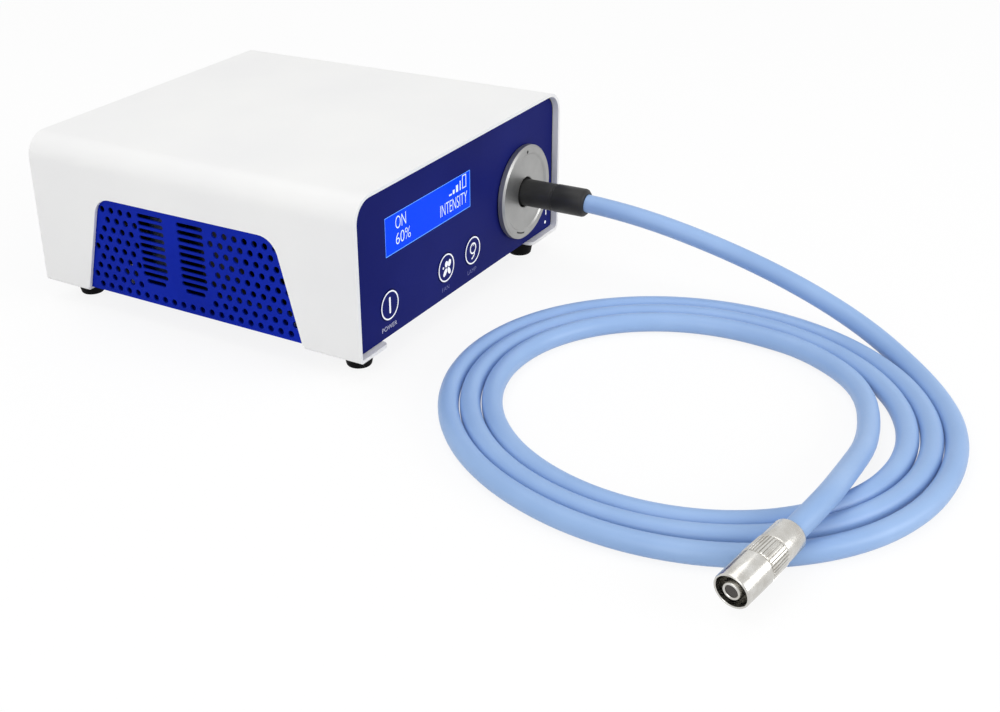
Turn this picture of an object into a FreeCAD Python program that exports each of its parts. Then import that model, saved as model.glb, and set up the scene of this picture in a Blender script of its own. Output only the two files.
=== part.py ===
import FreeCAD, Part
import math
import operator
import os

import Sketcher
from FreeCAD import Rotation, Vector

# Cold light source with its fibre light cable: a bent sheet cover over a tray, perforated side
# plates, a brightness dial round the light port, and a cable coiled in front.
# Frame: origin under the middle of the case, on the table; +X to the right as the front is
# seen, the front faces -Y, +Z up. Millimetres.

DRIVING_SIZES = {
    # case
    "unit_width": 165.0,
    "unit_depth": 173.0,
    "unit_height": 77.0,
    "sheet_gauge": 1.5,
    "foot_height": 8.9,
    "foot_radius": 6.8,
    "foot_tip_radius": 5.2,
    "foot_inset": 15.5,
    "cover_bend": 10.5,
    "tab_bend": 2.0,
    "tab_reach": 20.0,
    "cutout_top": 54.9,
    "cutout_top_half": 47.5,
    "cutout_foot_half": 58.7,
    "cutout_shift": 0.9,
    "cutout_round": 6.0,
    "front_recess": 3.0,
    "front_gauge": 2.0,
    "rear_recess": 3.5,
    "rear_gauge": 1.5,
    "slip": 0.3,
    # perforated side plates
    "grille_gauge": 1.0,
    "hole_width": 3.0,
    "hole_pitch": 5.2,
    "row_pitch": 4.5,
    "first_row": 13.5,
    "slot_length": 13.8,
    "slot_width": 1.9,
    "slot_pitch": 3.33,
    "slot_top": 48.7,
    "slot_column_gap": 22.1,
    "slot_column_rear": 23.1,
    # front
    "window_width": 65.0,
    "window_height": 16.5,
    "window_x": -25.6,
    "window_z": 53.1,
    "key_radius": 6.4,
    "key_z": 24.2,
    "power_key_x": -57.0,
    "fan_key_x": -13.8,
    "lamp_key_x": 8.0,
    "key_travel": 0.4,
    # dial and light port
    "port_x": 51.0,
    "port_z": 37.4,
    "dial_radius": 21.5,
    "dial_thickness": 3.2,
    "dial_hub": 13.5,
    "running_gap": 0.05,
    # optics
    "plug_radius": 6.25,
    "plug_reach": 30.0,
    "plug_length": 39.5,
    "ferrule_radius": 4.5,
    "ferrule_length": 18.0,
    "socket_radius": 7.0,
    "socket_length": 22.0,
    "lens_radius": 12.0,
    "heat_sink_front": -42.0,
    "heat_sink_width": 52.0,
    "heat_sink_height": 51.0,
    "heat_sink_length": 66.0,
    "heat_sink_base": 6.0,
    "fin_count": 12,
    "fin_gauge": 1.4,
    # fan
    "fan_side": 60.0,
    "fan_depth": 25.0,
    "fan_x": 40.0,
    "fan_bore": 28.5,
    "fan_hub": 12.0,
    "blade_count": 7,
    "vent_radius": 26.5,
    "vent_pitch": 5.3,
    "vent_width": 3.0,
    "vent_strip": 4.0,
    # mains inlet
    "inlet_x": -50.0,
    "inlet_z": 41.9,
    "inlet_width": 27.0,
    "inlet_height": 47.0,
    "inlet_depth": 26.0,
    # cable
    "cable_radius": 4.0,
    "coil_x": -41.9,
    "coil_y": -205.5,
    "coil_start_radius": 93.6,
    "coil_pitch": 8.25,
    "coil_stretch": 2.8,
    "coil_stretch_bearing": 58.5,
    "connector_radius": 6.0,
}

# Route of the cable between the plug and the coil, and between the coil and the connector.
LEAD_POINTS = [
    (51.0, -117.0, 37.4),
    (50.9, -137.9, 36.7),
    (55.8, -174.9, 27.7),
    (56.0, -210.7, 19.3),
    (47.3, -239.7, 9.3),
    (28.6, -268.8, 4.2),
]
TAIL_POINTS = [
    (23.5, -229.0, 4.0),
    (4.7, -257.0, 4.0),
    (-34.2, -271.0, 5.5),
    (-74.5, -273.7, 12.6),
    (-99.8, -274.6, 16.5),
    (-117.9, -271.0, 14.0),
]
# Turns are counted clockwise from the coil's front; the cable enters before the first whole
# turn and leaves at its right-hand side.
COIL_START_TURN = -1 / 12
COIL_END_TURN = 2.75

DOC = FreeCAD.newDocument("ColdLightSource")
SHEET = DOC.addObject("Spreadsheet::Sheet", "Sizes")
NODES = []
SIGNS = {"+": operator.add, "-": operator.sub, "*": operator.mul, "/": operator.truediv}


class Size:
    """A value of the sheet, or an expression of such values, with its present number."""

    def __init__(self, text, value):
        self.text = text
        self.value = value

    def __add__(self, other):
        return expression(self, "+", other)

    def __radd__(self, other):
        return expression(other, "+", self)

    def __sub__(self, other):
        return expression(self, "-", other)

    def __rsub__(self, other):
        return expression(other, "-", self)

    def __mul__(self, other):
        return expression(self, "*", other)

    def __rmul__(self, other):
        return expression(other, "*", self)

    def __truediv__(self, other):
        return expression(self, "/", other)

    def __neg__(self):
        return expression(0, "-", self)


def as_size(item):
    return item if isinstance(item, Size) else Size(f"{float(item):.6f}", float(item))


def expression(first, sign, second):
    first = as_size(first)
    second = as_size(second)
    return Size(f"({first.text} {sign} {second.text})", SIGNS[sign](first.value, second.value))


class Sheet:
    """The driving sizes by name, each written once to the spreadsheet."""

    def __init__(self, sizes):
        for row, (alias, value) in enumerate(sizes.items(), start=1):
            SHEET.set(f"A{row}", alias)
            SHEET.set(f"B{row}", str(value))
            SHEET.setAlias(f"B{row}", alias)
            setattr(self, alias, Size(f"Sizes.{alias}", value))


S = Sheet(DRIVING_SIZES)
DOC.recompute()

# Faces and levels that several pieces share.
HALF_WIDTH = S.unit_width / 2
INNER_HALF = HALF_WIDTH - S.sheet_gauge
HALF_DEPTH = S.unit_depth / 2
INNER_TOP = S.unit_height - S.sheet_gauge
TAB_TOP = S.foot_height + S.sheet_gauge
FLOOR_TOP = TAB_TOP + S.sheet_gauge
FRONT_FACE = S.front_recess - HALF_DEPTH
PANEL_BACK = FRONT_FACE + S.front_gauge
REAR_OUT = HALF_DEPTH - S.rear_recess
REAR_IN = REAR_OUT - S.rear_gauge
PANEL_HALF = INNER_HALF - S.slip
PANEL_TOP = INNER_TOP - S.slip
PANEL_FOOT = TAB_TOP + S.slip
GRILLE_INSIDE = PANEL_HALF - S.grille_gauge
PANEL_ROUND = S.cover_bend - S.sheet_gauge - S.slip
WINDOW_LEFT = S.window_x - S.window_width / 2
WINDOW_RIGHT = S.window_x + S.window_width / 2
WINDOW_FOOT = S.window_z - S.window_height / 2
WINDOW_HEAD = S.window_z + S.window_height / 2
KEY_HOLE = S.key_radius + S.slip
KEY_FLANGE_FRONT = PANEL_BACK + S.slip
KEY_FLANGE_GAUGE = 1.0
KEY_BOARD_BACK = PANEL_BACK + 9.5
BOARD_GAUGE = 1.6
KEY_BOARD_FRONT = KEY_BOARD_BACK - BOARD_GAUGE
KEY_BOARD_LEFT = S.power_key_x - 13
KEY_BOARD_RIGHT = S.lamp_key_x + 13
KEY_BOARD_FOOT = FLOOR_TOP + 2.3
KEY_BOARD_HEIGHT = 20.0
SWITCH_TIP = KEY_FLANGE_FRONT + KEY_FLANGE_GAUGE + S.key_travel + 0.05
DISPLAY_BOARD_FRONT = PANEL_BACK + 7.0
DIAL_BACK = FRONT_FACE - S.slip
DIAL_FRONT = DIAL_BACK - S.dial_thickness
ENCODER_FRONT = PANEL_BACK
ENCODER_DEPTH = 4.0
PLUG_END = DIAL_FRONT - S.plug_reach
PLUG_FACE = PLUG_END + S.plug_length
SOCKET_FRONT = PLUG_FACE + S.slip
SOCKET_BACK = SOCKET_FRONT + S.socket_length
LED_BOARD_FRONT = S.heat_sink_front - BOARD_GAUGE
FAN_Z = FLOOR_TOP + S.slip + S.fan_side / 2
FAN_FRONT = REAR_IN - S.fan_depth
FLANGE_OUT = REAR_OUT + 2.0
POWER_BOARD_LEFT = -GRILLE_INSIDE + 5.7
POWER_BOARD_WIDTH = 60.0
POWER_BOARD_FRONT = -50.0
POWER_BOARD_LENGTH = 100.0
POWER_BOARD_FOOT = FLOOR_TOP + 6.0
POWER_BOARD_TOP = POWER_BOARD_FOOT + BOARD_GAUGE


# ---------------------------------------------------------------- helpers


def bind(thing, prop, size):
    """Give a property its size, as an expression of the sheet."""
    thing.setExpression(prop, as_size(size).text)


def place(thing, point):
    for letter, size in zip("xyz", point):
        bind(thing, f".Placement.Base.{letter}", size)


def block(name, low, size):
    """A box from its low corner and its extents."""
    thing = DOC.addObject("Part::Box", name)
    for prop, extent in zip(("Length", "Width", "Height"), size):
        bind(thing, prop, extent)
    place(thing, low)
    return thing


AXES = {
    "X": Rotation(Vector(0, 1, 0), 90),
    "Y": Rotation(Vector(1, 0, 0), -90),
    "Z": Rotation(),
}


def rod(name, start, axis, radius, length):
    """A cylinder from its start point along +X, +Y or +Z."""
    thing = DOC.addObject("Part::Cylinder", name)
    bind(thing, "Radius", radius)
    bind(thing, "Height", length)
    thing.Placement = FreeCAD.Placement(Vector(), AXES[axis])
    place(thing, start)
    return thing


def taper(name, start, axis, radius, end_radius, length):
    """A cone's frustum from its start point along +X, +Y or +Z."""
    thing = DOC.addObject("Part::Cone", name)
    bind(thing, "Radius1", radius)
    bind(thing, "Radius2", end_radius)
    bind(thing, "Height", length)
    thing.Placement = FreeCAD.Placement(Vector(), AXES[axis])
    place(thing, start)
    return thing


def joined(name, things):
    thing = DOC.addObject("Part::MultiFuse", name)
    thing.Shapes = things
    return thing


def cut(name, base, tools):
    """The base less one tool or several."""
    thing = DOC.addObject("Part::Cut", name)
    thing.Base = base
    thing.Tool = tools[0] if len(tools) == 1 else joined(f"{name}_tools", tools)
    return thing


def shaped(name, shape):
    """A piece whose form is made by Part's own functions."""
    thing = DOC.addObject("Part::Feature", name)
    thing.Shape = shape
    return thing


def node(label, thing):
    """Make a finished object one sub-part of the product."""
    thing.Label = label
    NODES.append(thing)
    return thing


def new_body(name):
    return DOC.addObject("PartDesign::Body", name)


def sketch(body, role, offset, loops):
    """A sketch on one of the body's origin planes, at an offset along that plane's normal.

    XZ faces -Y, YZ faces +X and XY faces +Z. A loop is a list of corner points, or a centre
    and a radius for a circle; every corner, centre and radius is bound to the sheet.
    """
    plane = next(f for f in body.Origin.OriginFeatures if f.Role == f"{role}_Plane")
    drawing = body.newObject("Sketcher::SketchObject", f"{body.Name}_sketch")
    drawing.AttachmentSupport = [(plane, "")]
    drawing.MapMode = "FlatFace"
    bind(drawing, ".AttachmentOffset.Base.z", offset)
    for loop in loops:
        if isinstance(loop, tuple):
            draw_circle(drawing, *loop)
        else:
            draw_outline(drawing, loop)
    return drawing


def dimension(drawing, kind, *where, size):
    size = as_size(size)
    index = drawing.addConstraint(Sketcher.Constraint(kind, *where, size.value))
    drawing.setExpression(f"Constraints[{index}]", size.text)


def draw_outline(drawing, corners):
    first = drawing.GeometryCount
    count = len(corners)
    spots = [Vector(as_size(x).value, as_size(y).value, 0) for x, y in corners]
    for i in range(count):
        drawing.addGeometry(Part.LineSegment(spots[i], spots[(i + 1) % count]), False)
    for i in range(count):
        following = first + (i + 1) % count
        drawing.addConstraint(Sketcher.Constraint("Coincident", first + i, 2, following, 1))
    for i, (x, y) in enumerate(corners):
        dimension(drawing, "DistanceX", -1, 1, first + i, 1, size=x)
        dimension(drawing, "DistanceY", -1, 1, first + i, 1, size=y)


def draw_circle(drawing, x, y, radius):
    number = drawing.GeometryCount
    centre = Vector(as_size(x).value, as_size(y).value, 0)
    drawing.addGeometry(Part.Circle(centre, Vector(0, 0, 1), as_size(radius).value), False)
    dimension(drawing, "DistanceX", -1, 1, number, 3, size=x)
    dimension(drawing, "DistanceY", -1, 1, number, 3, size=y)
    dimension(drawing, "Radius", number, size=radius)


def rectangle(left, foot, right, head):
    return [(left, foot), (right, foot), (right, head), (left, head)]


def pad(body, drawing, length, backwards=False):
    feature = body.newObject("PartDesign::Pad", f"{body.Name}_pad")
    feature.Profile = drawing
    bind(feature, "Length", length)
    feature.Reversed = backwards
    return feature


def pocket(body, drawing, length, backwards=False):
    feature = body.newObject("PartDesign::Pocket", f"{body.Name}_pocket")
    feature.Profile = drawing
    bind(feature, "Length", length)
    feature.Reversed = backwards
    return feature


def round_edges(body, radius, chosen):
    """Fillet the edges of the body's tip that the test picks."""
    DOC.recompute()
    tip = body.Tip
    names = [f"Edge{i}" for i, edge in enumerate(tip.Shape.Edges, start=1) if chosen(edge)]
    feature = body.newObject("PartDesign::Fillet", f"{body.Name}_fillet")
    feature.Base = (tip, names)
    bind(feature, "Radius", radius)
    return feature


def runs_along(edge, axis):
    """Is the edge a straight one along that axis?"""
    if not isinstance(edge.Curve, (Part.Line, Part.LineSegment)):
        return False
    return abs(edge.tangentAt(edge.FirstParameter).dot(axis)) > 0.999


def middle(edge):
    return edge.CenterOfMass


def prism(points, direction):
    """A solid with a flat outline, drawn out along a direction."""
    return Part.Face(Part.makePolygon(points + points[:1])).extrude(direction)


def pillars(name, places, start, axis, radius, length):
    """Hexagonal spacers from one level, at two coordinates each across the axis."""
    pieces = []
    for i, (x, other) in enumerate(places):
        pillar = DOC.addObject("Part::Prism", f"{name}{i}")
        pillar.Polygon = 6
        pillar.Circumradius = radius
        bind(pillar, "Height", length)
        pillar.Placement = FreeCAD.Placement(Vector(), AXES[axis])
        place(pillar, (x, start, other) if axis == "Y" else (x, other, start))
        pieces.append(pillar)
    return joined(name, pieces)


def ring(name, centre, axis, outer, inner, length):
    """A tube from its start centre along +X, +Y or +Z."""
    bore = rod(f"{name}_bore", centre, axis, inner, length)
    return cut(name, rod(f"{name}_outside", centre, axis, outer, length), [bore])


# ---------------------------------------------------------------- case


def make_wrap_cover():
    """One bent sheet: top, two sides and four tabs turned in under the feet of the sides."""
    body = new_body("Cover")
    outside = rectangle(-HALF_WIDTH, S.foot_height, HALF_WIDTH, S.unit_height)
    pad(body, sketch(body, "XZ", HALF_DEPTH, [outside]), S.unit_depth, backwards=True)
    inside = rectangle(-INNER_HALF, TAB_TOP, INNER_HALF, INNER_TOP)
    pocket(body, sketch(body, "XZ", HALF_DEPTH, [inside]), S.unit_depth)
    mid_height = (S.foot_height + S.unit_height).value / 2
    bends = [
        (S.cover_bend - S.sheet_gauge, INNER_HALF, True),
        (S.tab_bend - S.sheet_gauge, INNER_HALF, False),
        (S.cover_bend, HALF_WIDTH, True),
        (S.tab_bend, HALF_WIDTH, False),
    ]
    for radius, half, upper in bends:
        round_edges(
            body,
            radius,
            lambda edge: runs_along(edge, Vector(0, 1, 0))
            and abs(abs(middle(edge).x) - half.value) < 0.01
            and (middle(edge).z > mid_height) == upper,
        )
    tab_edge = HALF_WIDTH - S.tab_reach
    between_tabs = rectangle(-tab_edge, S.foot_height - 1, tab_edge, TAB_TOP)
    pocket(body, sketch(body, "XZ", HALF_DEPTH, [between_tabs]), S.unit_depth)
    window = [
        (S.cutout_shift - S.cutout_foot_half, TAB_TOP + 1),
        (S.cutout_shift - S.cutout_top_half, S.cutout_top),
        (S.cutout_shift + S.cutout_top_half, S.cutout_top),
        (S.cutout_shift + S.cutout_foot_half, TAB_TOP + 1),
        (S.cutout_shift + S.cutout_foot_half + S.tab_bend, S.foot_height - 1),
        (S.cutout_shift - S.cutout_foot_half - S.tab_bend, S.foot_height - 1),
    ]
    pocket(body, sketch(body, "YZ", HALF_WIDTH, [window]), S.unit_width)
    top = S.cutout_top.value
    round_edges(
        body,
        S.cutout_round,
        lambda edge: runs_along(edge, Vector(1, 0, 0)) and abs(middle(edge).z - top) < 0.01,
    )
    inner_edge = tab_edge.value
    round_edges(
        body,
        2.5,
        lambda edge: runs_along(edge, Vector(0, 0, 1))
        and abs(abs(middle(edge).x) - inner_edge) < 0.01,
    )
    return node("wrap_cover", body)


def make_base_tray():
    """The floor sheet between the panels, with a low lip behind each of them."""
    body = new_body("Tray")
    half = PANEL_HALF - 0.2
    floor = rectangle(-half, PANEL_BACK, half, REAR_IN)
    pad(body, sketch(body, "XY", TAB_TOP, [floor]), S.sheet_gauge)
    inset = 12.0
    lip = 3.0
    front_lip = rectangle(
        inset - PANEL_HALF, PANEL_BACK, PANEL_HALF - inset, PANEL_BACK + S.sheet_gauge
    )
    rear_lip = rectangle(
        S.inlet_x + S.inlet_width / 2 + 4,
        REAR_IN - S.sheet_gauge,
        S.fan_x - S.fan_side / 2 - 2,
        REAR_IN,
    )
    pad(body, sketch(body, "XY", FLOOR_TOP, [front_lip]), lip)
    pad(body, sketch(body, "XY", FLOOR_TOP, [rear_lip]), 2 * lip)
    return node("base_tray", body)


def foot_centres():
    across = HALF_WIDTH - S.foot_inset
    along = HALF_DEPTH - 12
    return [(x, y) for x in (-across, across) for y in (-along, along)]


def hexagon(y, z, length, width):
    """Corner points, in Y and Z, of a punched hole, or of a slot where it is longer."""
    tip = length / 2
    shoulder = tip - width / 4 if length > width else tip / 2
    half = width / 2
    return [
        (y + tip, z),
        (y + shoulder, z + half),
        (y - shoulder, z + half),
        (y - tip, z),
        (y - shoulder, z - half),
        (y + shoulder, z - half),
    ]


def slot_columns():
    """The Y of the two slot columns' middles."""
    rear = S.slot_column_rear.value
    return (rear, rear - S.slot_column_gap.value)


def slot_outlines():
    """Two columns of ten level slots, the last one shorter."""
    length = S.slot_length.value
    count = 10
    outlines = []
    for column in slot_columns():
        for i in range(count):
            z = S.slot_top.value - i * S.slot_pitch.value
            shortening = 3.0 if i == count - 1 else 0.0
            outlines.append(hexagon(column, z, length - shortening, S.slot_width.value))
    return outlines


def near_slots(y, z):
    """Does a punched hole there come too near to the slots or to the strip between them?"""
    rear, front = slot_columns()
    margin = (S.slot_length + S.hole_width).value / 2 + 0.9
    foot = S.slot_top.value - 9 * S.slot_pitch.value - S.row_pitch.value * 0.8
    return front - margin < y < rear + margin and foot < z


def hole_outlines():
    """Staggered rows of punched holes, as far as the cover's side opening shows them."""
    pitch = S.hole_pitch.value
    row_pitch = S.row_pitch.value
    width = S.hole_width.value
    radius = width / 2
    foot = TAB_TOP.value
    slope = (S.cutout_foot_half - S.cutout_top_half).value / (S.cutout_top.value - foot)
    outlines = []
    row = 0
    z = S.first_row.value
    while z < S.cutout_top.value - radius * 0.6:
        reach = S.cutout_foot_half.value - slope * (z - foot) - radius * 0.5
        stagger = pitch / 2 * (row % 2)
        steps = int(reach // pitch) + 1
        for step in range(-steps, steps + 1):
            from_middle = step * pitch + stagger
            y = S.cutout_shift.value + from_middle
            if abs(from_middle) < reach and not near_slots(y, z):
                outlines.append(hexagon(y, z, width, width))
        row += 1
        z += row_pitch
    return outlines


def make_grilles():
    """The perforated side plates, the right one a mirror image of the left one."""
    length = REAR_IN - PANEL_BACK
    plate = block(
        "GrillePlate",
        (-PANEL_HALF, PANEL_BACK, FLOOR_TOP),
        (S.grille_gauge, length, PANEL_TOP - FLOOR_TOP - S.cover_bend + S.sheet_gauge),
    )
    outside = -PANEL_HALF.value - 1
    punch_length = Vector(S.grille_gauge.value + 2, 0, 0)
    punches = [
        prism([Vector(outside, y, z) for y, z in outline], punch_length)
        for outline in slot_outlines() + hole_outlines()
    ]
    left = cut("GrilleLeft", plate, [shaped("GrillePunches", Part.makeCompound(punches))])
    right = DOC.addObject("Part::Mirroring", "GrilleRight")
    right.Source = left
    right.Normal = Vector(1, 0, 0)
    node("grille_left", left)
    node("grille_right", right)


def make_corner_brackets():
    """Four upright angles that join the side plates to the front and rear panels."""
    leg = 7.0
    gauge = 1.0
    foot = FLOOR_TOP + 8
    height = 40.0
    pieces = []
    for x_sign in (-1, 1):
        side = GRILLE_INSIDE * x_sign
        for y_sign, panel in ((-1, PANEL_BACK), (1, REAR_IN)):
            low_x = side - leg if x_sign > 0 else side
            low_y = panel - leg if y_sign > 0 else panel
            flange_x = side - gauge if x_sign > 0 else side
            flange_y = panel - gauge if y_sign > 0 else panel
            name = f"Bracket{len(pieces)}"
            pieces.append(
                joined(
                    name,
                    [
                        block(f"{name}_a", (low_x, flange_y, foot), (leg, gauge, height)),
                        block(f"{name}_b", (flange_x, low_y, foot), (gauge, leg, height)),
                    ],
                )
            )
    return node("corner_brackets", joined("Brackets", pieces))


def panel_outline():
    return rectangle(-PANEL_HALF, PANEL_FOOT, PANEL_HALF, PANEL_TOP)


def round_panel_head(body):
    """Round the two upper corners to follow the cover's bend."""
    top = PANEL_TOP.value
    round_edges(
        body,
        PANEL_ROUND,
        lambda edge: runs_along(edge, Vector(0, 1, 0)) and abs(middle(edge).z - top) < 0.01,
    )


def key_places():
    return {
        "power_key": S.power_key_x,
        "fan_key": S.fan_key_x,
        "lamp_key": S.lamp_key_x,
    }


def front_openings():
    """The display window, the three key holes and the dial's bearing hole."""
    window = rectangle(WINDOW_LEFT, WINDOW_FOOT, WINDOW_RIGHT, WINDOW_HEAD)
    keys = [(x, S.key_z, KEY_HOLE) for x in key_places().values()]
    return [window, *keys, (S.port_x, S.port_z, S.dial_hub + S.running_gap)]


def make_front_panel():
    body = new_body("FrontPanel")
    pad(body, sketch(body, "XZ", -FRONT_FACE, [panel_outline()]), S.front_gauge, backwards=True)
    round_panel_head(body)
    drawing = sketch(body, "XZ", -FRONT_FACE, front_openings())
    pocket(body, drawing, S.front_gauge)
    return node("front_panel", body)


def make_display_window():
    pane = block(
        "Window",
        (WINDOW_LEFT, FRONT_FACE + 0.1, WINDOW_FOOT),
        (S.window_width, S.front_gauge - 0.1, S.window_height),
    )
    return node("display_window", pane)


def fan_vents():
    """Level slots before the fan, in two columns that fill a circle."""
    vents = []
    count = int(S.vent_radius.value // S.vent_pitch.value)
    for i in range(-count + 1, count):
        rise = S.vent_pitch * i
        reach = math.sqrt(S.vent_radius.value**2 - (abs(rise.value) + S.vent_width.value / 2) ** 2)
        half = S.vent_strip / 2
        z = FAN_Z + rise
        foot = z - S.vent_width / 2
        head = z + S.vent_width / 2
        vents.append(rectangle(S.fan_x - reach, foot, S.fan_x - half, head))
        vents.append(rectangle(S.fan_x + half, foot, S.fan_x + reach, head))
    return vents


def make_rear_panel():
    body = new_body("RearPanel")
    pad(body, sketch(body, "XZ", -REAR_OUT, [panel_outline()]), S.rear_gauge)
    round_panel_head(body)
    half_width = S.inlet_width / 2 + 0.1
    half_height = S.inlet_height / 2 + 0.1
    inlet = rectangle(
        S.inlet_x - half_width,
        S.inlet_z - half_height,
        S.inlet_x + half_width,
        S.inlet_z + half_height,
    )
    drawing = sketch(body, "XZ", -REAR_OUT, [inlet, *fan_vents()])
    pocket(body, drawing, S.rear_gauge, backwards=True)
    return node("rear_panel", body)


def make_feet():
    """Four tapered rubber feet under the cover's tabs."""
    feet = [
        taper(f"Foot{i}", (x, y, 0), "Z", S.foot_tip_radius, S.foot_radius, S.foot_height)
        for i, (x, y) in enumerate(foot_centres())
    ]
    return node("rubber_feet", joined("Feet", feet))


# ---------------------------------------------------------------- display and keys


def display_spacer_places():
    return [(S.window_x + x, S.window_z + z) for x in (-37.5, 37.5) for z in (-15.5, 15.5)]


def make_display():
    """Character display: its board, the bent metal frame, the glass, and four spacers."""
    board_half_width = 40.0
    board_half_height = 18.0
    board = block(
        "DisplayBoard",
        (S.window_x - board_half_width, DISPLAY_BOARD_FRONT, S.window_z - board_half_height),
        (2 * board_half_width, BOARD_GAUGE, 2 * board_half_height),
    )
    node("display_board", board)
    frame_side = 3.2
    frame_end = 4.8
    frame_front = PANEL_BACK + 0.6
    wall = 0.6
    frame_depth = DISPLAY_BOARD_FRONT - frame_front
    low = (WINDOW_LEFT - frame_side, frame_front, WINDOW_FOOT - frame_end)
    size = (S.window_width + 2 * frame_side, frame_depth, S.window_height + 2 * frame_end)
    hollow_low = (low[0] + wall, frame_front + wall, low[2] + wall)
    hollow_size = (size[0] - 2 * wall, frame_depth, size[2] - 2 * wall)
    view = block(
        "FrameView",
        (WINDOW_LEFT, frame_front, WINDOW_FOOT),
        (S.window_width, wall, S.window_height),
    )
    hollow = block("FrameHollow", hollow_low, hollow_size)
    node("display_frame", cut("DisplayFrame", block("FrameOutside", low, size), [hollow, view]))
    glass = block("DisplayGlass", hollow_low, (hollow_size[0], 2.2, hollow_size[2]))
    node("display_glass", glass)
    length = DISPLAY_BOARD_FRONT - PANEL_BACK
    places = display_spacer_places()
    node("display_spacers", pillars("DisplaySpacers", places, PANEL_BACK, "Y", 2.4, length))


def key_spacer_places():
    inset = 3
    return [
        (KEY_BOARD_LEFT + inset, KEY_BOARD_FOOT + inset),
        (KEY_BOARD_LEFT + inset, KEY_BOARD_FOOT + KEY_BOARD_HEIGHT - inset),
        (S.fan_key_x - 22, S.key_z),
        (KEY_BOARD_RIGHT - inset, KEY_BOARD_FOOT + inset),
    ]


def make_key_board():
    """The board behind the keys, with its three switches and its spacers."""
    board = block(
        "KeyBoard",
        (KEY_BOARD_LEFT, KEY_BOARD_FRONT, KEY_BOARD_FOOT),
        (KEY_BOARD_RIGHT - KEY_BOARD_LEFT, BOARD_GAUGE, KEY_BOARD_HEIGHT),
    )
    node("key_board", board)
    body_depth = 3.4
    body_front = KEY_BOARD_FRONT - body_depth
    switches = []
    for key, x in key_places().items():
        body = block(f"{key}_switch_body", (x - 3, body_front, S.key_z - 3), (6.0, body_depth, 6.0))
        plunger_low = (x - 1.5, SWITCH_TIP, S.key_z - 1.5)
        plunger = block(f"{key}_plunger", plunger_low, (3.0, body_front - SWITCH_TIP, 3.0))
        switches.append(joined(f"{key}_switch", [body, plunger]))
    node("tact_switches", joined("TactSwitches", switches))
    length = KEY_BOARD_FRONT - PANEL_BACK
    places = key_spacer_places()
    node("key_spacers", pillars("KeySpacers", places, PANEL_BACK, "Y", 2.2, length))


def make_keys():
    """Round keys that stand just proud of the panel, each with a square flange behind it."""
    proud = 0.3
    front = FRONT_FACE - proud
    half = KEY_HOLE + 0.8
    for name, x in key_places().items():
        cap = rod(f"{name}_cap", (x, front, S.key_z), "Y", S.key_radius, KEY_FLANGE_FRONT - front)
        flange = block(
            f"{name}_flange",
            (x - half, KEY_FLANGE_FRONT, S.key_z - half),
            (2 * half, KEY_FLANGE_GAUGE, 2 * half),
        )
        node(name, joined(f"{name}_whole", [cap, flange]))


# ---------------------------------------------------------------- dial


def make_dial():
    """The brightness dial: a turned disc on a hub that runs in the panel and in an encoder."""
    centre = (S.port_x, DIAL_FRONT, S.port_z)
    chamfer = 0.5
    face_recess = 0.5
    disc_start = (S.port_x, DIAL_FRONT + chamfer, S.port_z)
    disc = rod("DialDisc", disc_start, "Y", S.dial_radius, S.dial_thickness - chamfer)
    edge = taper("DialEdge", centre, "Y", S.dial_radius - chamfer, S.dial_radius, chamfer)
    eye = rod("DialEye", centre, "Y", S.plug_radius + 0.65, S.dial_thickness)
    face = rod("DialFace", centre, "Y", S.dial_radius * 0.81, face_recess)
    index_height = 2.4
    index = block(
        "DialIndex",
        (S.port_x - 0.6, DIAL_FRONT, S.port_z + S.dial_radius * 0.88 - index_height / 2),
        (1.2, face_recess, index_height),
    )
    slot = block(
        "DialSlot",
        (S.port_x - 2.6, DIAL_FRONT, S.port_z - S.dial_radius * 0.78),
        (5.2, 2 * face_recess, 1.0),
    )
    blank = joined("DialBlank", [disc, edge])
    node("intensity_dial", cut("Dial", blank, [eye, face, index, slot]))
    behind = (S.port_x, DIAL_BACK, S.port_z)
    hub_length = ENCODER_FRONT + ENCODER_DEPTH - DIAL_BACK
    node("dial_hub", ring("DialHub", behind, "Y", S.dial_hub, S.plug_radius + 3, hub_length))
    half = 17.0
    housing = block(
        "EncoderHousing",
        (S.port_x - half, ENCODER_FRONT, S.port_z - half),
        (2 * half, ENCODER_DEPTH, 2 * half),
    )
    bore_start = (S.port_x, ENCODER_FRONT, S.port_z)
    bore = rod("EncoderBore", bore_start, "Y", S.dial_hub + S.running_gap, ENCODER_DEPTH)
    node("dial_encoder", cut("Encoder", housing, [bore]))


# ---------------------------------------------------------------- optics and cooling


def make_light_socket():
    """The tube that takes the cable's ferrule, and the angle that carries it."""
    at = (S.port_x, SOCKET_FRONT, S.port_z)
    bore = S.ferrule_radius + S.running_gap
    node("light_socket", ring("Socket", at, "Y", S.socket_radius, bore, S.socket_length))
    half = 14.0
    gauge = 2.0
    foot_length = 12.0
    upright_front = SOCKET_BACK - gauge - 1
    upright = block(
        "BracketUpright",
        (S.port_x - half, upright_front, FLOOR_TOP),
        (2 * half, gauge, S.port_z + 12 - FLOOR_TOP),
    )
    foot = block(
        "BracketFoot",
        (S.port_x - half, upright_front - foot_length, FLOOR_TOP),
        (2 * half, foot_length, gauge),
    )
    hole = rod(
        "BracketHole", (S.port_x, upright_front, S.port_z), "Y", S.socket_radius, gauge
    )
    bracket = cut("OpticsBracket", joined("BracketBlank", [upright, foot]), [hole])
    node("optics_bracket", bracket)


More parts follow.
